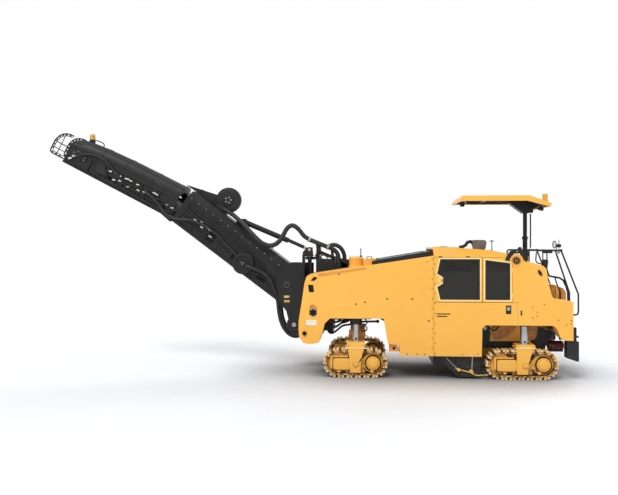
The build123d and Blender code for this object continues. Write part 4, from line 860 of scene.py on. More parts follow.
        # foot of the leg, with its pin
        k = Kit(side=s)
        top = height + (0.145 if end == "front" else 0.105)
        r = 0.062 if end == "front" else 0.078
        k.turned((leg_x, y, top), UP, ((-0.012, r + 0.045), (0.012, r + 0.045), (0.018, r + 0.038),
            (0.018, r + 0.004)), 0, 32)
        k.turned((leg_x, y + r * 0.9, top + 0.05), OUT, ((0, 0.022), (0.012, 0.022), (0.016, 0.016)), 1,
            14)
        k.done(f"leg_foot_{end}_{hand}", f"leg_{end}_{hand}", [CHROME, DARK], 0.003)

# ------------------------------------------------------------------ rails, mirrors, canopy details
k = Kit()
# clamps on the outer rails' ends
for _ in k.sides():
    for x, z in ((-0.09, 2.44), (-0.76, 2.61), (-1.0, 1.319)):
        k.disc((x, 1.08, z), 0.024, 0.04, 0, 12)
# bars of the inner rail, by the operator's way up
y = 0.62
k.bar([(-0.51, 2.60), (-0.41, 2.595), (-0.378, 2.56), (-0.366, 2.40), (-0.385, 2.355), (-0.43, 2.335),
    (-0.51, 2.325)], y, 0.013)
k.bar([(-0.508, 2.60), (-0.508, 2.30)], y, 0.012)
k.bar([(-0.592, 2.60), (-0.592, 2.27)], y, 0.013)
k.bar([(-0.50, 2.325), (-0.545, 2.285), (-0.592, 2.20), (-0.615, 2.12), (-0.64, 2.075), (-0.755, 2.055),
    (-0.85, 2.037), (-0.92, 1.99), (-0.985, 1.85), (-1.015, 1.74), (-1.02, 1.56)], y, 0.021)
k.bar([(-0.75, 2.05), (-0.80, 1.89), (-0.865, 1.72), (-0.868, 1.57)], y, 0.014)
k.box(-0.70, -0.50, y - 0.03, y + 0.03, 2.545, 2.59)
k.box(-0.56, -0.51, y - 0.02, y + 0.03, 2.29, 2.42)
k.box(-0.735, -0.655, 1.07, 1.12, 2.545, 2.59, 1)
k.done("rail_bars", "frame", [BLACK, GREY], 0.0)
k = Kit()
# mirror and lamp on the near rail
y = 1.10
mirror = [(-0.628 + 0.034 * math.cos(a * 0.3927), y, 2.725 + 0.070 * math.sin(a * 0.3927))
    for a in range(17)]
k.pipe(mirror, 0.009, 0, 8)
k.skin([[(x, y - 0.004, z) for x, _, z in mirror[:-1]], [(x, y + 0.002, z) for x, _, z in mirror[:-1]]],
    1)
k.bar([(-0.665, 2.61), (-0.665, 2.66), (-0.66, 2.69)], y, 0.008)
k.bar([(-0.718, 2.61), (-0.718, 2.82)], y, 0.006)
k.turned((-0.735, y, 2.702), (1, 0, 0), ((-0.02, 0.030), (0.0, 0.036), (0.05, 0.034), (0.07, 0.018)), 0,
    18)
k.turned((-0.752, y, 2.702), (-1, 0, 0), ((0, 0.028), (0.008, 0.024)), 1, 18)
k.rod((-0.66, y, 2.70), (-0.70, y, 2.702), 0.010)
k.done("rail_mirror", "frame", [BLACK, LENS], 0.002)
# lockers on the platform's rear edge, in orange and brown painted shade over yellow
k = Kit()
k.plate([(-0.735, 1.58), (-0.83, 1.58), (-0.835, 1.88), (-0.75, 1.885)], -0.45, 0.30)
k.plate([(-0.76, 1.60), (-0.82, 1.60), (-0.825, 1.86), (-0.775, 1.862)], 0.29, 0.305, 1)
k.plate([(-0.945, 1.56), (-1.065, 1.56), (-1.06, 1.72), (-1.01, 1.80), (-0.95, 1.83)], -0.45, 0.30)
k.plate([(-0.85, 1.56), (-0.93, 1.56), (-0.93, 1.84), (-0.86, 1.87)], -0.45, 0.26, 2)
k.done("platform_lockers", "frame", [ORANGE_SHADE, BROWN_SHADE, YELLOW], 0.008)

k = Kit()
# roof shell: side plates, top with its turned-down ends, black lining inside
outline = [(1.20, 3.612), (1.205, 3.648), (1.145, 3.740), (-0.215, 3.740), (-0.660, 3.575),
    (-0.636, 3.505), (-0.17, 3.628), (1.12, 3.628)]
for _ in k.sides():
    k.plate(outline, 0.747, 0.775)
    k.plate([(1.17, 3.635), (1.17, 3.65), (1.12, 3.712), (-0.21, 3.712), (-0.612, 3.563), (-0.60, 3.532),
        (-0.17, 3.642), (1.11, 3.642)], 0.742, 0.7475, 1)
k.plate(outline[:6] + [(-0.612, 3.512), (-0.628, 3.560), (-0.207, 3.712), (1.13, 3.712), (1.178, 3.642),
    (1.176, 3.615)], -0.748, 0.748)
k.plate([(1.176, 3.632), (1.128, 3.712), (-0.207, 3.712), (-0.622, 3.560), (-0.615, 3.545),
    (-0.203, 3.704), (1.122, 3.704), (1.168, 3.628)], -0.745, 0.745, 1)
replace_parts(k.done("roof_shell", "canopy", [YELLOW, BLACK], 0.008, 3), "canopy_roof")

k = Kit()
# gussets and cross members under the roof
for _ in k.sides():
    k.plate([(0.62, 3.69), (0.27, 3.645), (-0.03, 3.585), (-0.14, 3.54), (-0.162, 3.434), (-0.309, 3.412),
        (-0.42, 3.49), (-0.57, 3.56), (-0.20, 3.69)], 0.115, 0.145)
    k.plate([(1.02, 3.70), (1.00, 3.665), (0.10, 3.655), (-0.10, 3.63), (-0.25, 3.665), (-0.20, 3.70)],
        0.52, 0.55)
for x in (0.15, 0.55, 0.95):
    k.box(x, x + 0.06, -0.735, 0.735, 3.665, 3.705)
# work lamps at the front and round ones at the back edge
for y in (-0.5, 0.5):
    k.box(0.96, 1.05, y - 0.07, y + 0.07, 3.575, 3.645)
    k.box(1.048, 1.056, y - 0.06, y + 0.06, 3.582, 3.638, 1)
    k.rod((1.00, y, 3.63), (1.00, y, 3.70), 0.01)
    k.turned((-0.46, y, 3.475), (-1, 0, -0.12), ((-0.03, 0.02), (0, 0.034), (0.06, 0.040),
        (0.085, 0.038)), 0, 20)
    k.turned((-0.546, y, 3.465), (-1, 0, -0.12), ((-0.02, 0.032), (0.003, 0.028)), 1, 20)
    k.pipe([(-0.50, y - 0.05, 3.56), (-0.50, y - 0.05, 3.47), (-0.50, y - 0.03, 3.46)], 0.008)
    k.pipe([(-0.50, y + 0.05, 3.56), (-0.50, y + 0.05, 3.47), (-0.50, y + 0.03, 3.46)], 0.008)
k.done("canopy_ceiling", "canopy", [BLACK, LENS], 0.004)
k = Kit()
# ribs pressed into the roof, and the beacon
for y in (-0.55, -0.18, 0.18, 0.55):
    k.plate([(1.10, 3.732), (-0.18, 3.732), (-0.15, 3.745), (1.07, 3.745)], y - 0.03, y + 0.03)
k.done("canopy_ribs", "canopy", [YELLOW], 0.006)
k = Kit()
k.turned((-0.57, 0.55, 3.60), UP, ((0, 0.060), (0.05, 0.060), (0.055, 0.054), (0.165, 0.056),
    (0.18, 0.050), (0.185, 0.02)), 0, 24)
k.done("canopy_beacons", "canopy", [AMBER, BLACK], 0.003)

k = Kit()
# collar and clamp screws of the telescopic post, and a second collar below
k.turned((POST_X, 0, 2.84), UP, ((0, 0.062), (0.055, 0.062), (0.066, 0.054)), 0, 28)
for a in range(4):
    k.rod((POST_X, 0, 2.865), (POST_X + 0.085 * math.cos(a * 1.571 + 0.4),
        0.085 * math.sin(a * 1.571 + 0.4), 2.865), 0.012, 1, 8)
k.turned((POST_X, 0, 2.50), UP, ((0, 0.085), (0.02, 0.085), (0.03, 0.066), (0.10, 0.060)), 0, 28)
k.done("post_collar", "frame", [BLACK, STEEL], 0.003)
# coiled cable beside the mast, from the mast down to the post's foot
turns, top_coil, low_coil = 76, 3.38, 2.66
coil = [(-0.357 + 0.013 * math.cos(a * math.pi / 3), 0.147 + 0.013 * math.sin(a * math.pi / 3),
    top_coil - (top_coil - low_coil) * a / (6 * turns)) for a in range(6 * turns + 1)]
flex_hose("coiled_cable", (-0.357, 0.147, top_coil), (-0.357, 0.147, low_coil),
    [(0.0045, [(-0.28, 0.08, 3.42), (-0.35, 0.14, 3.41)] + coil + [(-0.352, 0.14, 2.62),
    (-0.345, 0.10, 2.55)])])

# ------------------------------------------------------------------ operator's place
k = Kit()
k.plate([(0.105, 1.62), (0.115, 1.62), (0.115, 2.34), (0.105, 2.36)], -0.60, 0.60)
for i in range(5):
    y = -0.50 + i * 0.25
    k.skin([[(-0.14, y - 0.08, 2.304), (0.04, y - 0.08, 2.392), (0.04, y + 0.08, 2.392),
        (-0.14, y + 0.08, 2.304)], [(-0.145, y - 0.075, 2.314), (0.035, y - 0.075, 2.402),
        (0.035, y + 0.075, 2.402), (-0.145, y + 0.075, 2.314)]], 1)
    for j in range(3):
        x = -0.10 + j * 0.06
        z = 2.327 + (x + 0.10) * 0.489 + 0.004
        k.rod((x, y - 0.03, z), (x - 0.006, y - 0.03, z + 0.014), 0.010, 2 + (i + j) % 2, 10)
for y in (-0.42, 0.05, 0.42):
    k.rod((-0.09, y, 2.33), (-0.115, y, 2.44), 0.009)
    k.turned((-0.115, y, 2.44), (-0.2, 0, 1), ((0, 0.012), (0.015, 0.024), (0.045, 0.024), (0.06, 0.010)),
        0, 14)
k.done("console_panels", "frame", [BLACK, GREY, AMBER, RED], 0.003)

k = Kit()
SEAT_X, SEAT_Y = -0.56, -0.33
k.turned((SEAT_X, SEAT_Y, 1.56), UP, ((0, 0.15), (0.02, 0.15), (0.03, 0.07), (0.30, 0.06), (0.33, 0.12)),
    1, 28)
k.box(SEAT_X - 0.20, SEAT_X + 0.20, SEAT_Y - 0.21, SEAT_Y + 0.21, 1.88, 1.92, 1)
for t in (1, -1):
    k.plate([(SEAT_X - 0.20, 2.02), (SEAT_X + 0.12, 2.05), (SEAT_X + 0.14, 2.10), (SEAT_X - 0.20, 2.09)],
        SEAT_Y + t * 0.24, SEAT_Y + t * 0.30)
    k.rod((SEAT_X - 0.16, SEAT_Y + t * 0.25, 1.93), (SEAT_X - 0.18, SEAT_Y + t * 0.25, 2.04), 0.014, 1)
k.done("seat_base", "frame", [FABRIC, BLACK], 0.006)


CUTS = 11                      # cuts along each edge of a pad


def cushion(name, centre, size, tilt, body, seams):
    """Crowned pad: a subdivided block whose sides pull in, with sewn grooves across it."""
    bm = bmesh.new()
    bmesh.ops.create_cube(bm, size=2.0)
    bmesh.ops.subdivide_edges(bm, edges=bm.edges, cuts=CUTS, use_grid_fill=True)
    cos_tilt, sin_tilt = math.cos(math.radians(tilt)), math.sin(math.radians(tilt))
    for v in bm.verts:
        x, y, z = v.co
        pull = 1 - 0.10 * z * z
        crown = (1 - x ** 4) * (1 - y ** 4)
        groove = sum(math.exp(-((x - g) / 0.05) ** 2) for g in seams)
        h = z * (0.62 + 0.38 * crown) - (0.10 * groove if z > 0.5 else 0)
        px, py, pz = x * pull * size[0], y * pull * size[1], h * size[2]
        v.co = P(centre[0] + px * cos_tilt - pz * sin_tilt, centre[1] + py,
            centre[2] + px * sin_tilt + pz * cos_tilt)
    mesh = bpy.data.meshes.new(name)
    bm.to_mesh(mesh)
    bm.free()
    mesh.materials.append(FABRIC)
    for poly in mesh.polygons:
        poly.use_smooth = True
    obj = bpy.data.objects.new(name, mesh)
    scene.collection.objects.link(obj)
    sub = obj.modifiers.new("soft", "SUBSURF")
    sub.levels = sub.render_levels = 1
    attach(obj, body)
    return obj


pad = cushion("seat_cushion", (SEAT_X, SEAT_Y, 1.955), (0.21, 0.225, 0.045), 0, "frame", (-0.4, 0.1, 0.6))
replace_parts(pad, "operator_seat")
cushion("seat_back", (SEAT_X - 0.19, SEAT_Y, 2.20), (0.20, 0.215, 0.045), 97, "frame", (-0.5, 0.0, 0.5))

# ------------------------------------------------------------------ back of the machine
k = Kit()
for _ in k.sides():
    for z in (0.62, 0.86):
        k.box(-1.11, -1.00, 0.90, 1.10, z, z + 0.03)
    # rubber flap hanging under the step
    k.plate([(-0.88, 0.775), (-0.885, 0.46), (-0.93, 0.43), (-1.00, 0.42), (-1.10, 0.395), (-1.108, 0.40),
        (-1.108, 0.78)], 0.985, 1.112)
    # tail lamps
    k.box(-0.995, -1.012, 0.80, 1.04, 1.40, 1.50)
    for i, m in enumerate((2, 3, 2)):
        k.box(-1.010, -1.018, 0.81 + i * 0.078, 0.875 + i * 0.078, 1.41, 1.49, m)
# cooler grille and ladder between the panels
k.box(-0.988, -1.000, -0.46, 0.46, 0.86, 1.50)
for i in range(15):
    z = 0.89 + i * 0.04
    k.plate([(-0.995, z), (-1.015, z + 0.006), (-1.015, z + 0.012), (-0.995, z + 0.022)], -0.43, 0.43)
for y in (-0.71, -0.53):
    k.box(-1.04, -0.99, y - 0.015, y + 0.015, 0.62, 1.62)
for i in range(4):
    z = 0.66 + i * 0.26
    k.box(-1.05, -0.99, -0.71, -0.53, z, z + 0.03)
k.turned((-0.99, 0.0, 0.74), (-1, 0, 0), ((0, 0.06), (0.05, 0.06), (0.06, 0.05), (0.06, 0.03),
    (0.02, 0.03)), 0, 24)
k.done("rear_fittings", "frame", [BLACK, STEEL, RED, AMBER], 0.003)

# ------------------------------------------------------------------ drum and protectors
low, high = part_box("drum")
drum_c = ((low.x + high.x) / 2 - X0, 0, (low.z + high.z) / 2)
k = Kit()
for i in range(112):
    y = -0.895 + 1.79 * i / 111
    a = math.radians(360.0 * 5 / 16 * i)
    out = Vector((math.sin(a), 0, math.cos(a)))
    fwd = Vector((math.cos(a), 0, -math.sin(a)))
    root = Vector((drum_c[0], y, drum_c[2])) + out * 0.372
    side = Vector((0, 1, 0))
    block = [root + fwd * p + side * q for p, q in ((-0.045, -0.024), (0.045, -0.024), (0.045, 0.024),
        (-0.045, 0.024))]
    cap = [root + out * 0.034 + fwd * p + side * q for p,
        q in ((-0.015, -0.018), (0.035, -0.018), (0.035, 0.018), (-0.015, 0.018))]
    k.skin([[tuple(v) for v in block], [tuple(v) for v in cap]])
    tip = (out * 0.8 + fwd * 0.6).normalized()
    base = root + out * 0.024
    k.skin([k.ring(base, tip, 0.017, 10), k.ring(base + tip * 0.03, tip, 0.016, 10),
        k.ring(base + tip * 0.042, tip, 0.010, 10), k.ring(base + tip * 0.060, tip, 0.003, 10)], 1)
k.turned((drum_c[0], -0.94, drum_c[2]), OUT, ((0, 0.30), (0.0, 0.37), (1.88, 0.37), (1.88, 0.30)), 0, 64)
for t in (1, -1):
    k.turned((drum_c[0], t * 0.938, drum_c[2]), (0, t, 0),
        ((0, 0.20), (0.012, 0.20), (0.016, 0.09), (0.057, 0.088)), 0, 36)
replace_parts(k.done("drum_and_picks", "drum", [PALE_CREAM, STEEL], 0.0), "drum")

SKID = ((0.832, 0.062), (0.905, 0.057), (1.03, 0.117), (1.165, 0.152), (1.29, 0.180), (1.33, 0.202),
    (1.316, 0.226), (1.28, 0.205), (1.16, 0.177), (1.02, 0.143), (0.90, 0.083), (0.832, 0.087))
for hand, s in SIDES:
    k = Kit(side=s)
    box_low, box_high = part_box(f"edge_protector_{hand}")
    yo = max(abs(box_low.y), abs(box_high.y))
    # worn face of the skid, its foot, guide rods and lifting lugs
    k.plate(SKID, yo - 0.012, yo + 0.004)
    k.skin([[(0.66, yo - 0.008, 0.078), (0.84, yo - 0.03, 0.060), (0.90, yo - 0.03, 0.072),
        (0.84, yo - 0.03, 0.084), (0.68, yo - 0.008, 0.098)],
        [(0.66, yo + 0.002, 0.078), (0.84, yo + 0.002, 0.060), (0.90, yo + 0.002, 0.072),
        (0.84, yo + 0.002, 0.084), (0.68, yo + 0.002, 0.098)]])
    k.rod((1.00, yo - 0.02, 0.12), (0.985, yo - 0.02, 0.45), 0.012, 1)
    k.rod((1.29, yo - 0.02, 0.20), (1.52, yo - 0.02, 0.43), 0.010, 1)
    k.disc((1.26, yo - 0.01, 0.182), 0.034, 0.018, 2, 14)
    k.plate([(0.96, 0.105), (1.06, 0.135), (1.04, 0.185), (0.98, 0.18)], yo - 0.02, yo + 0.006, 2)
    k.bolts([(0.90, 0.40), (0.90, 0.30), (1.60, 0.44), (1.50, 0.36)], yo - 0.04, 0.014, 3)
    k.done(f"protector_skid_{hand}", f"protector_{hand}", [ZINC, STEEL, YELLOW, BLACK], 0.003)

# ------------------------------------------------------------------ slewing frame
k = Kit()
for _ in k.sides():
    # stiffeners, hinge cap and zinc plates of the side plates
    k.turned((TILT_X, 0.386, TILT_Z), OUT, ((0, 0.085), (0.004, 0.085), (0.008, 0.075), (0.008, 0.035)),
        0, 32)
    k.circle(TILT_X, TILT_Z, 0.055, 6, 0.390, 0.399, 0.009, 2)
    for z in (1.478, 1.576):
        k.plate([(4.785, z + 0.004), (4.905, z), (4.91, z + 0.048), (4.79, z + 0.052)], 0.386, 0.398, 1)
    k.plate([(4.50, 2.28), (4.82, 2.28), (4.80, 2.24), (4.50, 2.24)], 0.386, 0.396)
    k.plate([(4.50, 1.10), (4.78, 1.10), (4.80, 1.14), (4.50, 1.14)], 0.386, 0.396)
    k.plate([(4.47, 1.15), (4.50, 1.15), (4.50, 2.28), (4.47, 2.28)], 0.386, 0.40)
# round foot at the tail
k.turned((4.70, -0.30, 0.99), OUT, ((0, 0.10), (0.0, 0.155), (0.04, 0.165), (0.56, 0.165), (0.60, 0.155),
    (0.60, 0.10)), 0, 36)
k.disc((4.70, -0.31, 0.99), 0.05, 0.62, 2, 16)
# pin heads, top and bottom
k.turned((SLEW_X, 0, 2.458), UP, ((0, 0.062), (0.02, 0.062), (0.026, 0.05)), 2, 24)
k.turned((SLEW_X, 0, 2.086), (0, 0, -1), ((0, 0.062), (0.016, 0.062), (0.022, 0.05)), 2, 24)
for _ in k.sides():
    k.turned((SLEW_X, 0.096, 2.615), OUT, ((0, 0.036), (0.012, 0.036), (0.016, 0.028)), 2, 16)
k.done("slew_fittings", "slew", [BLACK, ZINC, STEEL], 0.003)

# ------------------------------------------------------------------ conveyor, main section
k = Kit(MAIN)
for _ in k.sides():
    yo = 0.360
    # edge flanges, ribs and panels of the side plates
    k.box(0.0, 2.88, yo, 0.385, -0.395, -0.345)
    k.box(0.10, 2.88, yo, 0.378, 0.195, 0.235)
    k.box(0.10, 2.86, yo, 0.372, -0.03, -0.01)
    for i in range(8):
        a = 0.30 + i * 0.35
        k.box(a, a + 0.035, yo, 0.375, -0.35, 0.20)
    for i in range(14):
        a = 0.2 + i * 0.2
        k.disc((a, 0.359, 0.255), 0.011, 0.010, 1, 6)
    # slots in the plate's lower half, drawn as near-black sheets of painted shade
    for i in range(3):
        a = 0.42 + i * 0.72
        k.box(a, a + 0.24, 0.355, 0.3625, -0.28, -0.08, 2)
# seams and straps of the arched cover
for i in range(6):
    a = 0.05 + i * 0.55
    if not 1.85 < a < 2.45:
        k.across(arch([(0.233, 0.404), (0.362, 0.275), (0.362, 0.22)],
            [(0.352, 0.22), (0.352, 0.265), (0.226, 0.392)]), a, a + 0.03)
# handles on the cover
for a in (0.75, 1.45):
    k.bar([(a, 0.40), (a, 0.445), (a + 0.16, 0.445), (a + 0.16, 0.40)], 0.15, 0.009)
# return rollers under the belt
for i in range(5):
    a = 0.35 + i * 0.55
    k.turned((a, -0.30, -0.265), OUT, ((0, 0.02), (0.02, 0.045), (0.58, 0.045), (0.60, 0.02)), 2, 16)
k.done("conveyor_ribs", "conveyor", [BLACK, STEEL, DARK], 0.003)

k = Kit(MAIN)
# side fan on each side, with its motor; its hose is a piece of its own
side_a, side_n = 1.036, -0.19
for _ in k.sides():
    k.turned((side_a, 0.36, side_n), OUT, ((0, 0.235), (0.10, 0.235), (0.115, 0.22), (0.115, 0.16),
        (0.10, 0.15), (0.10, 0.06), (0.15, 0.05), (0.155, 0.02)), 0, 44)
    k.circle(side_a, side_n, 0.03, 3, 0.51, 0.522, 0.012, 1, 8)
k.done("side_fans", "conveyor", [BLACK, STEEL], 0.004)

k = Kit(MAIN)
fan_a, fan_n, fan_r = 2.186, 0.692, 0.280
# dust fan: scroll housing, hub and duct up to the head's cover
k.turned((fan_a, -0.06, fan_n), OUT, ((0, fan_r - 0.02), (0.01, fan_r), (0.11, fan_r),
    (0.12, fan_r - 0.02), (0.12, 0.13), (0.135, 0.12), (0.135, 0.02)), 0, 48)
k.circle(fan_a, fan_n, 0.06, 5, 0.07, 0.092, 0.018, 1, 8)
k.plate([(fan_a - 0.06, 0.752), (3.15, 0.405), (3.15, 0.392), (2.91, 0.403), (fan_a - 0.06, 0.403)],
    -0.118, -0.002)
for a in (2.45, 2.80):
    top = 0.752 - 0.339 * (a - 2.126)
    k.plate([(a, 0.403), (a + 0.02, 0.403), (a + 0.02, top), (a, top + 0.007)], -0.124, 0.004)
k.box(fan_a - 0.14, fan_a + 0.14, -0.12, 0.12, 0.402, fan_n - 0.17)
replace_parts(k.done("dust_fan_housing", "conveyor", [BLACK, STEEL], 0.006), "dust_fan")

# hoses along the main section
for hand, s in SIDES:
    hose(f"main_hoses_{hand}", "conveyor", [
        (0.026, [(2.36, 0.42, -0.085), (2.20, 0.42, -0.03), (2.02, 0.42, -0.02), (1.79, 0.42, -0.04),
            (1.55, 0.42, -0.10), (1.26, 0.43, -0.13), (1.20, 0.43, -0.16)]),
        (0.014, [(0.55, 0.40, 0.02), (0.9, 0.41, 0.10), (1.5, 0.41, 0.14), (2.0, 0.41, 0.12),
            (2.4, 0.42, 0.04), (2.8, 0.42, 0.10)]),
        (0.014, [(0.60, 0.40, -0.02), (1.0, 0.41, 0.06), (1.6, 0.42, 0.09), (2.1, 0.42, 0.06),
            (2.45, 0.43, -0.03), (2.8, 0.43, 0.05)]),
        (0.020, [(0.25, 0.40, -0.19), (0.38, 0.42, -0.15), (0.59, 0.43, -0.17), (0.80, 0.43, -0.22),
            (0.93, 0.42, -0.28)]),
        (0.012, [(2.0, 0.39, -0.12), (2.3, 0.40, -0.18), (2.6, 0.41, -0.14), (2.82, 0.42, -0.20)]),
        (0.012, [(1.45, 0.39, -0.20), (1.8, 0.40, -0.14), (2.1, 0.40, -0.24), (2.5, 0.41, -0.22),
            (2.82, 0.42, -0.26)]),
    ], MAIN, s)
    # hose that crosses the folding joint, and the one from the side fan down to the slewing frame's foot
    flex_hose(f"fold_hose_{hand}", HEAD(0.30, 0.42, 0.16), HEAD(-0.30, 0.42, 0.14),
        [(0.033, on(HEAD, [(0.80, 0.38, 0.30), (0.66, 0.42, 0.275), (0.49, 0.42, 0.235),
        (0.33, 0.42, 0.165), (0.19, 0.42, 0.09), (0.03, 0.43, 0.055), (-0.20, 0.43, 0.11)]) + on(MAIN,
        [(2.55, 0.42, -0.125), (2.34, 0.42, -0.08)]))], s)
    flex_hose(f"fan_hose_{hand}", (5.30, 0.45, 2.05), (5.04, 0.25, 1.30),
        [(0.040, [(5.79, 0.42, 2.29), (5.70, 0.49, 2.265), (5.55, 0.49, 2.21), (5.375, 0.47, 2.136),
        (5.224, 0.45, 2.007), (5.12, 0.41, 1.79), (5.053, 0.32, 1.53), (5.04, 0.25, 1.27),
        (5.00, 0.23, 1.05), (4.918, 0.22, 0.88), (4.80, 0.21, 0.755), (4.66, 0.20, 0.715),
        (4.56, 0.18, 0.76), (4.54, 0.17, 0.85)])], s)

# suction hose in three pieces: conveyor to slewing post, post to frame, frame
upper = [(6.30, 0.10, 3.52), (6.12, 0.12, 3.426), (5.946, 0.2, 3.289), (5.752, 0.30, 3.11),
    (5.543, 0.37, 2.891), (5.367, 0.38, 2.733), (5.173, 0.36, 2.69), (5.024, 0.33, 2.783),
    (4.94, 0.30, 2.913), (4.877, 0.28, 3.055), (4.791, 0.27, 3.142), (4.682, 0.26, 3.142),
    (4.585, 0.25, 3.044)]
flex_hose("suction_hose_upper", (5.50, 0.36, 2.90), (4.85, 0.28, 3.08),
    [(0.050, upper)])
flex_hose("suction_hose_middle", (4.585, 0.25, 3.044), (4.38, 0.24, 2.85),
    [(0.050, [(4.585, 0.25, 3.044), (4.52, 0.245, 2.95), (4.46, 0.24, 2.89), (4.358, 0.24, 2.833)])])
# gaiter over the lifting rod
gaiter = [(4.886, 0.0, 2.837), (4.509, 0.0, 2.670)]
flex_hose("lift_gaiter", gaiter[0], gaiter[1], [(0.040, gaiter)])
hose("suction_hose_lower", "frame", [
    (0.050, [(4.358, 0.24, 2.833), (4.20, 0.24, 2.766), (3.967, 0.23, 2.674), (3.85, 0.22, 2.63),
        (3.765, 0.21, 2.555), (3.735, 0.20, 2.435), (3.732, 0.20, 2.22)]),
    (0.046, [(3.99, 0.06, 2.68), (3.95, 0.06, 2.705), (3.82, 0.08, 2.733), (3.689, 0.08, 2.663),
        (3.616, 0.08, 2.521), (3.61, 0.08, 2.40), (3.62, 0.08, 2.25)]),
])
k = Kit()
# clamps and the bracket that carries the pipe on the stay
for a, b in (((4.385, 0.24, 2.846), (4.345, 0.24, 2.828)), ((3.99, 0.232, 2.684), (3.95, 0.229, 2.667))):
    k.rod(a, b, 0.058, 1, 24)
k.plate([(4.12, 2.56), (4.22, 2.60), (4.235, 2.76), (4.13, 2.72)], 0.03, 0.20)
k.plate([(3.84, 2.44), (3.90, 2.46), (3.91, 2.62), (3.85, 2.60)], 0.03, 0.19)
# stay below the pipe, and the shield behind the slewing post
k.rod((4.168, 0.13, 2.576), (3.557, 0.13, 2.315), 0.036, 0, 20)
k.plate([(4.235, 2.433), (4.181, 2.433), (4.181, 2.127), (4.235, 2.126)], 0.10, 0.12)
k.box(3.68, 3.78, 0.14, 0.26, 2.18, 2.30)
k.box(3.56, 3.68, 0.02, 0.14, 2.20, 2.33)
# small lines and fittings between the stay and the deck
for x, z in ((4.24, 2.47), (4.14, 2.44), (3.98, 2.41), (3.80, 2.38)):
    k.rod((x, 0.15, z - 0.06), (x, 0.15, z + 0.03), 0.014, 2, 10)
    k.turned((x, 0.15, z + 0.03), UP, ((0, 0.020), (0.02, 0.020), (0.03, 0.010)), 1, 8)
k.pipe([(4.24, 0.15, 2.50), (4.20, 0.16, 2.54), (4.05, 0.16, 2.50), (3.98, 0.15, 2.44)], 0.012)
k.pipe([(4.14, 0.15, 2.47), (4.08, 0.17, 2.50), (3.88, 0.17, 2.44), (3.80, 0.15, 2.41)], 0.012)
k.done("suction_clamps", "frame", [BLACK, STEEL, BRONZE], 0.004)
k = Kit(MAIN)
# bright fittings along the side lines
for _ in k.sides():
    for a, n in ((2.31, -0.013), (2.24, -0.11), (2.15, -0.046), (2.06, -0.05), (1.97, -0.16),
            (2.45, -0.07)):
        k.rod((a - 0.035, 0.40, n + 0.004), (a + 0.035, 0.40, n - 0.004), 0.015, 0, 10)
        k.rod((a - 0.010, 0.40, n), (a + 0.010, 0.40, n), 0.021, 1, 6)
k.done("main_fittings", "conveyor", [WHITE, STEEL], 0.002)

# ------------------------------------------------------------------ conveyor, head
k = Kit(HEAD)
for _ in k.sides():
    # diagonals of the open truss, chord flange
    for i in range(4):
        a = 0.22 + i * 0.45
        k.plate([(a, 0.07), (a + 0.05, 0.07), (a + 0.42, 0.45), (a + 0.37, 0.45)], 0.345, 0.362)
    k.box(0.06, 2.77, 0.358, 0.390, 0.027, 0.041)
    k.box(0.06, 2.77, 0.358, 0.390, 0.083, 0.097)
    # end bearing of the drive roller
    k.turned((2.50, 0.358, 0.30), OUT, ((0, 0.12), (0.02, 0.12), (0.03, 0.10), (0.03, 0.05),
        (0.06, 0.045)), 0, 28)
    k.box(2.30, 2.66, 0.358, 0.374, 0.24, 0.36)
    for a, n in ((2.34, 0.27), (2.34, 0.33), (2.62, 0.27), (2.62, 0.33)):
        k.rod((a, 0.372, n), (a, 0.384, n), 0.012, 1, 6)
for i in range(7):
    a = 0.20 + i * 0.36
    k.turned((a, -0.31, 0.19), OUT, ((0, 0.02), (0.02, 0.040), (0.60, 0.040), (0.62, 0.02)), 2, 14)
for _ in k.sides():
    # belt skirts behind the open truss
    for a0, a1, n0, n1 in ((0.15, 0.74, 0.09, 0.52), (0.74, 1.09, 0.145, 0.52), (1.09, 1.49, 0.09, 0.52),
            (1.49, 1.73, 0.215, 0.52), (1.49, 1.73, 0.09, 0.165), (1.73, 2.25, 0.09, 0.52)):
        k.box(a0, a1, 0.322, 0.332, n0, n1)
    # valve block in the third window
    k.plate([(1.76, 0.20), (1.98, 0.165), (2.06, 0.36), (1.85, 0.39)], 0.335, 0.372, 3)
k.done("head_truss", "head", [BLACK, STEEL, DARK, COVER], 0.003)
k = Kit(HEAD)
# bright fittings and clamps of the head's lines
for _ in k.sides():
    for a, n in ((1.686, 0.332), (1.543, 0.35), (1.447, 0.34), (1.40, 0.241), (1.288, 0.348),
            (1.254, 0.36), (1.179, 0.354), (1.178, 0.206), (1.001, 0.351), (0.936, 0.246), (0.804, 0.265),
            (0.59, 0.359), (0.524, 0.352), (0.209, 0.265), (0.089, 0.248), (1.53, 0.199)):
        k.rod((a - 0.032, 0.383, n + 0.006), (a + 0.032, 0.383, n - 0.006), 0.016, 0, 10)
        k.rod((a - 0.010, 0.383, n), (a + 0.010, 0.383, n), 0.022, 1, 6)
    k.rod((2.66, 0.40, 0.155), (2.58, 0.40, 0.215), 0.020, 0, 10)
    k.rod((2.60, 0.40, 0.235), (2.53, 0.40, 0.270), 0.020, 0, 10)
    k.rod((0.045, 0.39, 0.55), (0.00, 0.39, 0.54), 0.016, 0, 10)
k.done("head_fittings", "head", [WHITE, STEEL], 0.002)

k = Kit(HEAD)
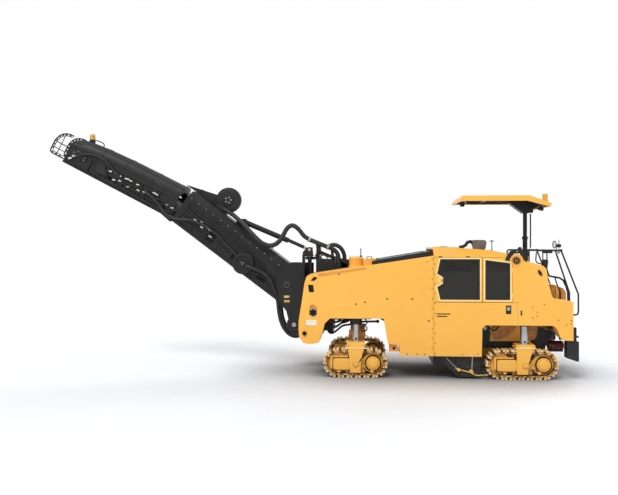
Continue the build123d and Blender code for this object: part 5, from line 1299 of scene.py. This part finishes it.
# smooth arched cover over the belt
sections = []
for a, n in ((0.055, 0.796), (0.6, 0.786), (1.29, 0.776), (1.75, 0.757), (2.13, 0.734), (2.44, 0.704),
        (2.60, 0.656), (2.71, 0.584), (2.772, 0.486)):
    side_n = n - 0.235 if a < 2.7 else n - 0.12
    drop = 0.16 if a < 2.7 else 0.08
    half = [(0.10, n), (0.21, n - drop * 0.03), (0.285, n - drop * 0.24), (0.345, n - drop * 0.58),
        (0.372, n - drop), (0.372, side_n)]
    sections.append([(a, y, h) for y, h in arch(half, [(0.352, side_n), (0.0, n - 0.06)])])
k.skin(sections)
for a, n in ((0.08, 0.797), (0.75, 0.784), (1.42, 0.771), (2.00, 0.742)):
    strap = [(0.12, n + 0.006), (0.288, n - 0.032), (0.350, n - 0.088), (0.378, n - 0.16),
        (0.378, n - 0.24)]
    k.across(arch(strap, [(0.368, n - 0.24), (0.30, n - 0.10), (0, n - 0.03)]), a, a + 0.035)
    # buttons of the straps, and rivets between them
    for _ in k.sides():
        k.disc((a + 0.018, 0.374, n - 0.20), 0.014, 0.010, 1, 8)
        for step in (0.22, 0.44):
            k.disc((a + step, 0.366, n - 0.20), 0.010, 0.010, 1, 8)
# handle loop beside the beacon
k.bar([(2.15, 0.72), (2.16, 0.775), (2.20, 0.80), (2.34, 0.79), (2.39, 0.765), (2.40, 0.70)], 0.16, 0.012,
    1)
k.done("head_cover", "head", [COVER, BLACK], 0.003)

k = Kit(HEAD)
# wire guards beside the discharge: thick rim, cross bars and lamp brackets
for _ in k.sides():
    yo = 0.371
    rim = [(2.78, yo, 0.644), (2.87, yo, 0.642), (2.96, yo, 0.618), (3.03, yo, 0.572), (3.085, yo, 0.505),
        (3.118, yo, 0.42), (3.129, yo, 0.36), (3.129, yo, 0.16), (3.112, yo, 0.115), (3.066, yo, 0.097),
        (2.78, yo, 0.096)]
    k.pipe(rim, 0.016, 0, 8)
    inner = [(2.80, yo, 0.60), (2.86, yo, 0.598), (2.94, yo, 0.577), (3.00, yo, 0.536),
        (3.045, yo, 0.482), (3.072, yo, 0.41), (3.083, yo, 0.36), (3.083, yo, 0.17), (3.06, yo, 0.145),
        (2.80, yo, 0.142)]
    k.pipe(inner, 0.009, 0, 8)
    for a, n in ((2.86, 0.62), (2.95, 0.597), (3.015, 0.553), (3.065, 0.492), (3.096, 0.41),
            (3.106, 0.30), (3.106, 0.22), (3.07, 0.12), (2.98, 0.118), (2.88, 0.118)):
        k.disc((a, yo - 0.012, n), 0.021, 0.024, 0, 8)
        k.disc((a, yo + 0.010, n), 0.008, 0.006, 1, 8)
    k.bar([(2.78, 0.37), (3.12, 0.37)], yo, 0.012, 0, 8)
    k.bar([(2.96, 0.11), (2.96, 0.62)], yo, 0.010, 0, 8)
    k.bar([(2.79, 0.24), (3.12, 0.24)], yo, 0.009, 0, 8)
    # brackets on the head's side
    for n in (0.46, 0.17):
        k.box(2.64, 2.80, 0.360, 0.382, n - 0.03, n + 0.03)
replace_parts(k.done("guard_wires", "head", [BLACK, STEEL], 0.0), "head_guards")

k = Kit(HEAD)
k.box(2.445, 2.555, -0.055, 0.055, 0.68, 0.735, 1)
bx, _, bz = HEAD(2.5, 0, 0.72)
k.place = level
k.turned((bx, 0, bz), UP, ((0, 0.062), (0.02, 0.066), (0.03, 0.060)), 1, 24)
k.turned((bx, 0, bz + 0.025), UP, ((0, 0.058), (0.012, 0.068), (0.03, 0.060), (0.045, 0.068),
    (0.065, 0.060), (0.08, 0.068), (0.10, 0.062), (0.125, 0.058), (0.135, 0.03)), 0, 28)
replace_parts(k.done("beacon", "head", [AMBER, BLACK], 0.002), "head_beacon")

for hand, s in SIDES:
    hose(f"head_hoses_{hand}", "head", [
        (0.023, [(2.60, 0.40, 0.20), (2.51, 0.40, 0.28), (2.42, 0.41, 0.37), (2.27, 0.41, 0.46),
            (2.09, 0.41, 0.505), (1.90, 0.41, 0.50), (1.71, 0.41, 0.425), (1.58, 0.40, 0.36),
            (1.44, 0.39, 0.34)]),
        (0.013, [(1.60, 0.38, 0.34), (1.30, 0.39, 0.24), (1.0, 0.39, 0.30), (0.7, 0.39, 0.22),
            (0.4, 0.39, 0.30), (0.1, 0.39, 0.26)]),
        (0.013, [(1.55, 0.38, 0.30), (1.2, 0.39, 0.18), (0.9, 0.39, 0.24), (0.6, 0.39, 0.16),
            (0.3, 0.39, 0.24), (0.1, 0.39, 0.20)]),
        (0.013, [(2.1, 0.38, 0.14), (1.7, 0.39, 0.10), (1.2, 0.39, 0.13), (0.7, 0.39, 0.10),
            (0.1, 0.39, 0.13)]),
    ], HEAD, s)

# ------------------------------------------------------------------ floor and end
bpy.ops.mesh.primitive_plane_add(size=120, location=(0, 0, -0.001))
floor = bpy.context.object
floor.name = "floor"
FLOOR = material("floor", (246, 248, 251), (244, 246, 249), 0.7, spec=0.05, grain=0.0)
floor.data.materials.append(FLOOR)
# soft contact shadow: the ground darkens where the machine stands close over it
ft = FLOOR.node_tree
occlusion = ft.nodes.new("ShaderNodeAmbientOcclusion")
occlusion.inputs["Distance"].default_value = 2.2
occlusion.samples = 8
level_out = ft.nodes.new("ShaderNodeMapRange")
level_out.inputs["From Min"].default_value = 0.35
level_out.inputs["From Max"].default_value = 1.0
level_out.inputs["To Min"].default_value = 0.22
ft.links.new(occlusion.outputs["AO"], level_out.inputs["Value"])
shade = ft.nodes.new("ShaderNodeMix")
shade.data_type = "RGBA"
shade.inputs["A"].default_value = (0, 0, 0, 1)
floor_shader = ft.nodes["Principled BSDF"]
ft.links.new(floor_shader.inputs["Base Color"].links[0].from_socket, shade.inputs["B"])
ft.links.new(level_out.outputs["Result"], shade.inputs["Factor"])
ft.links.new(shade.outputs["Result"], floor_shader.inputs["Base Color"])
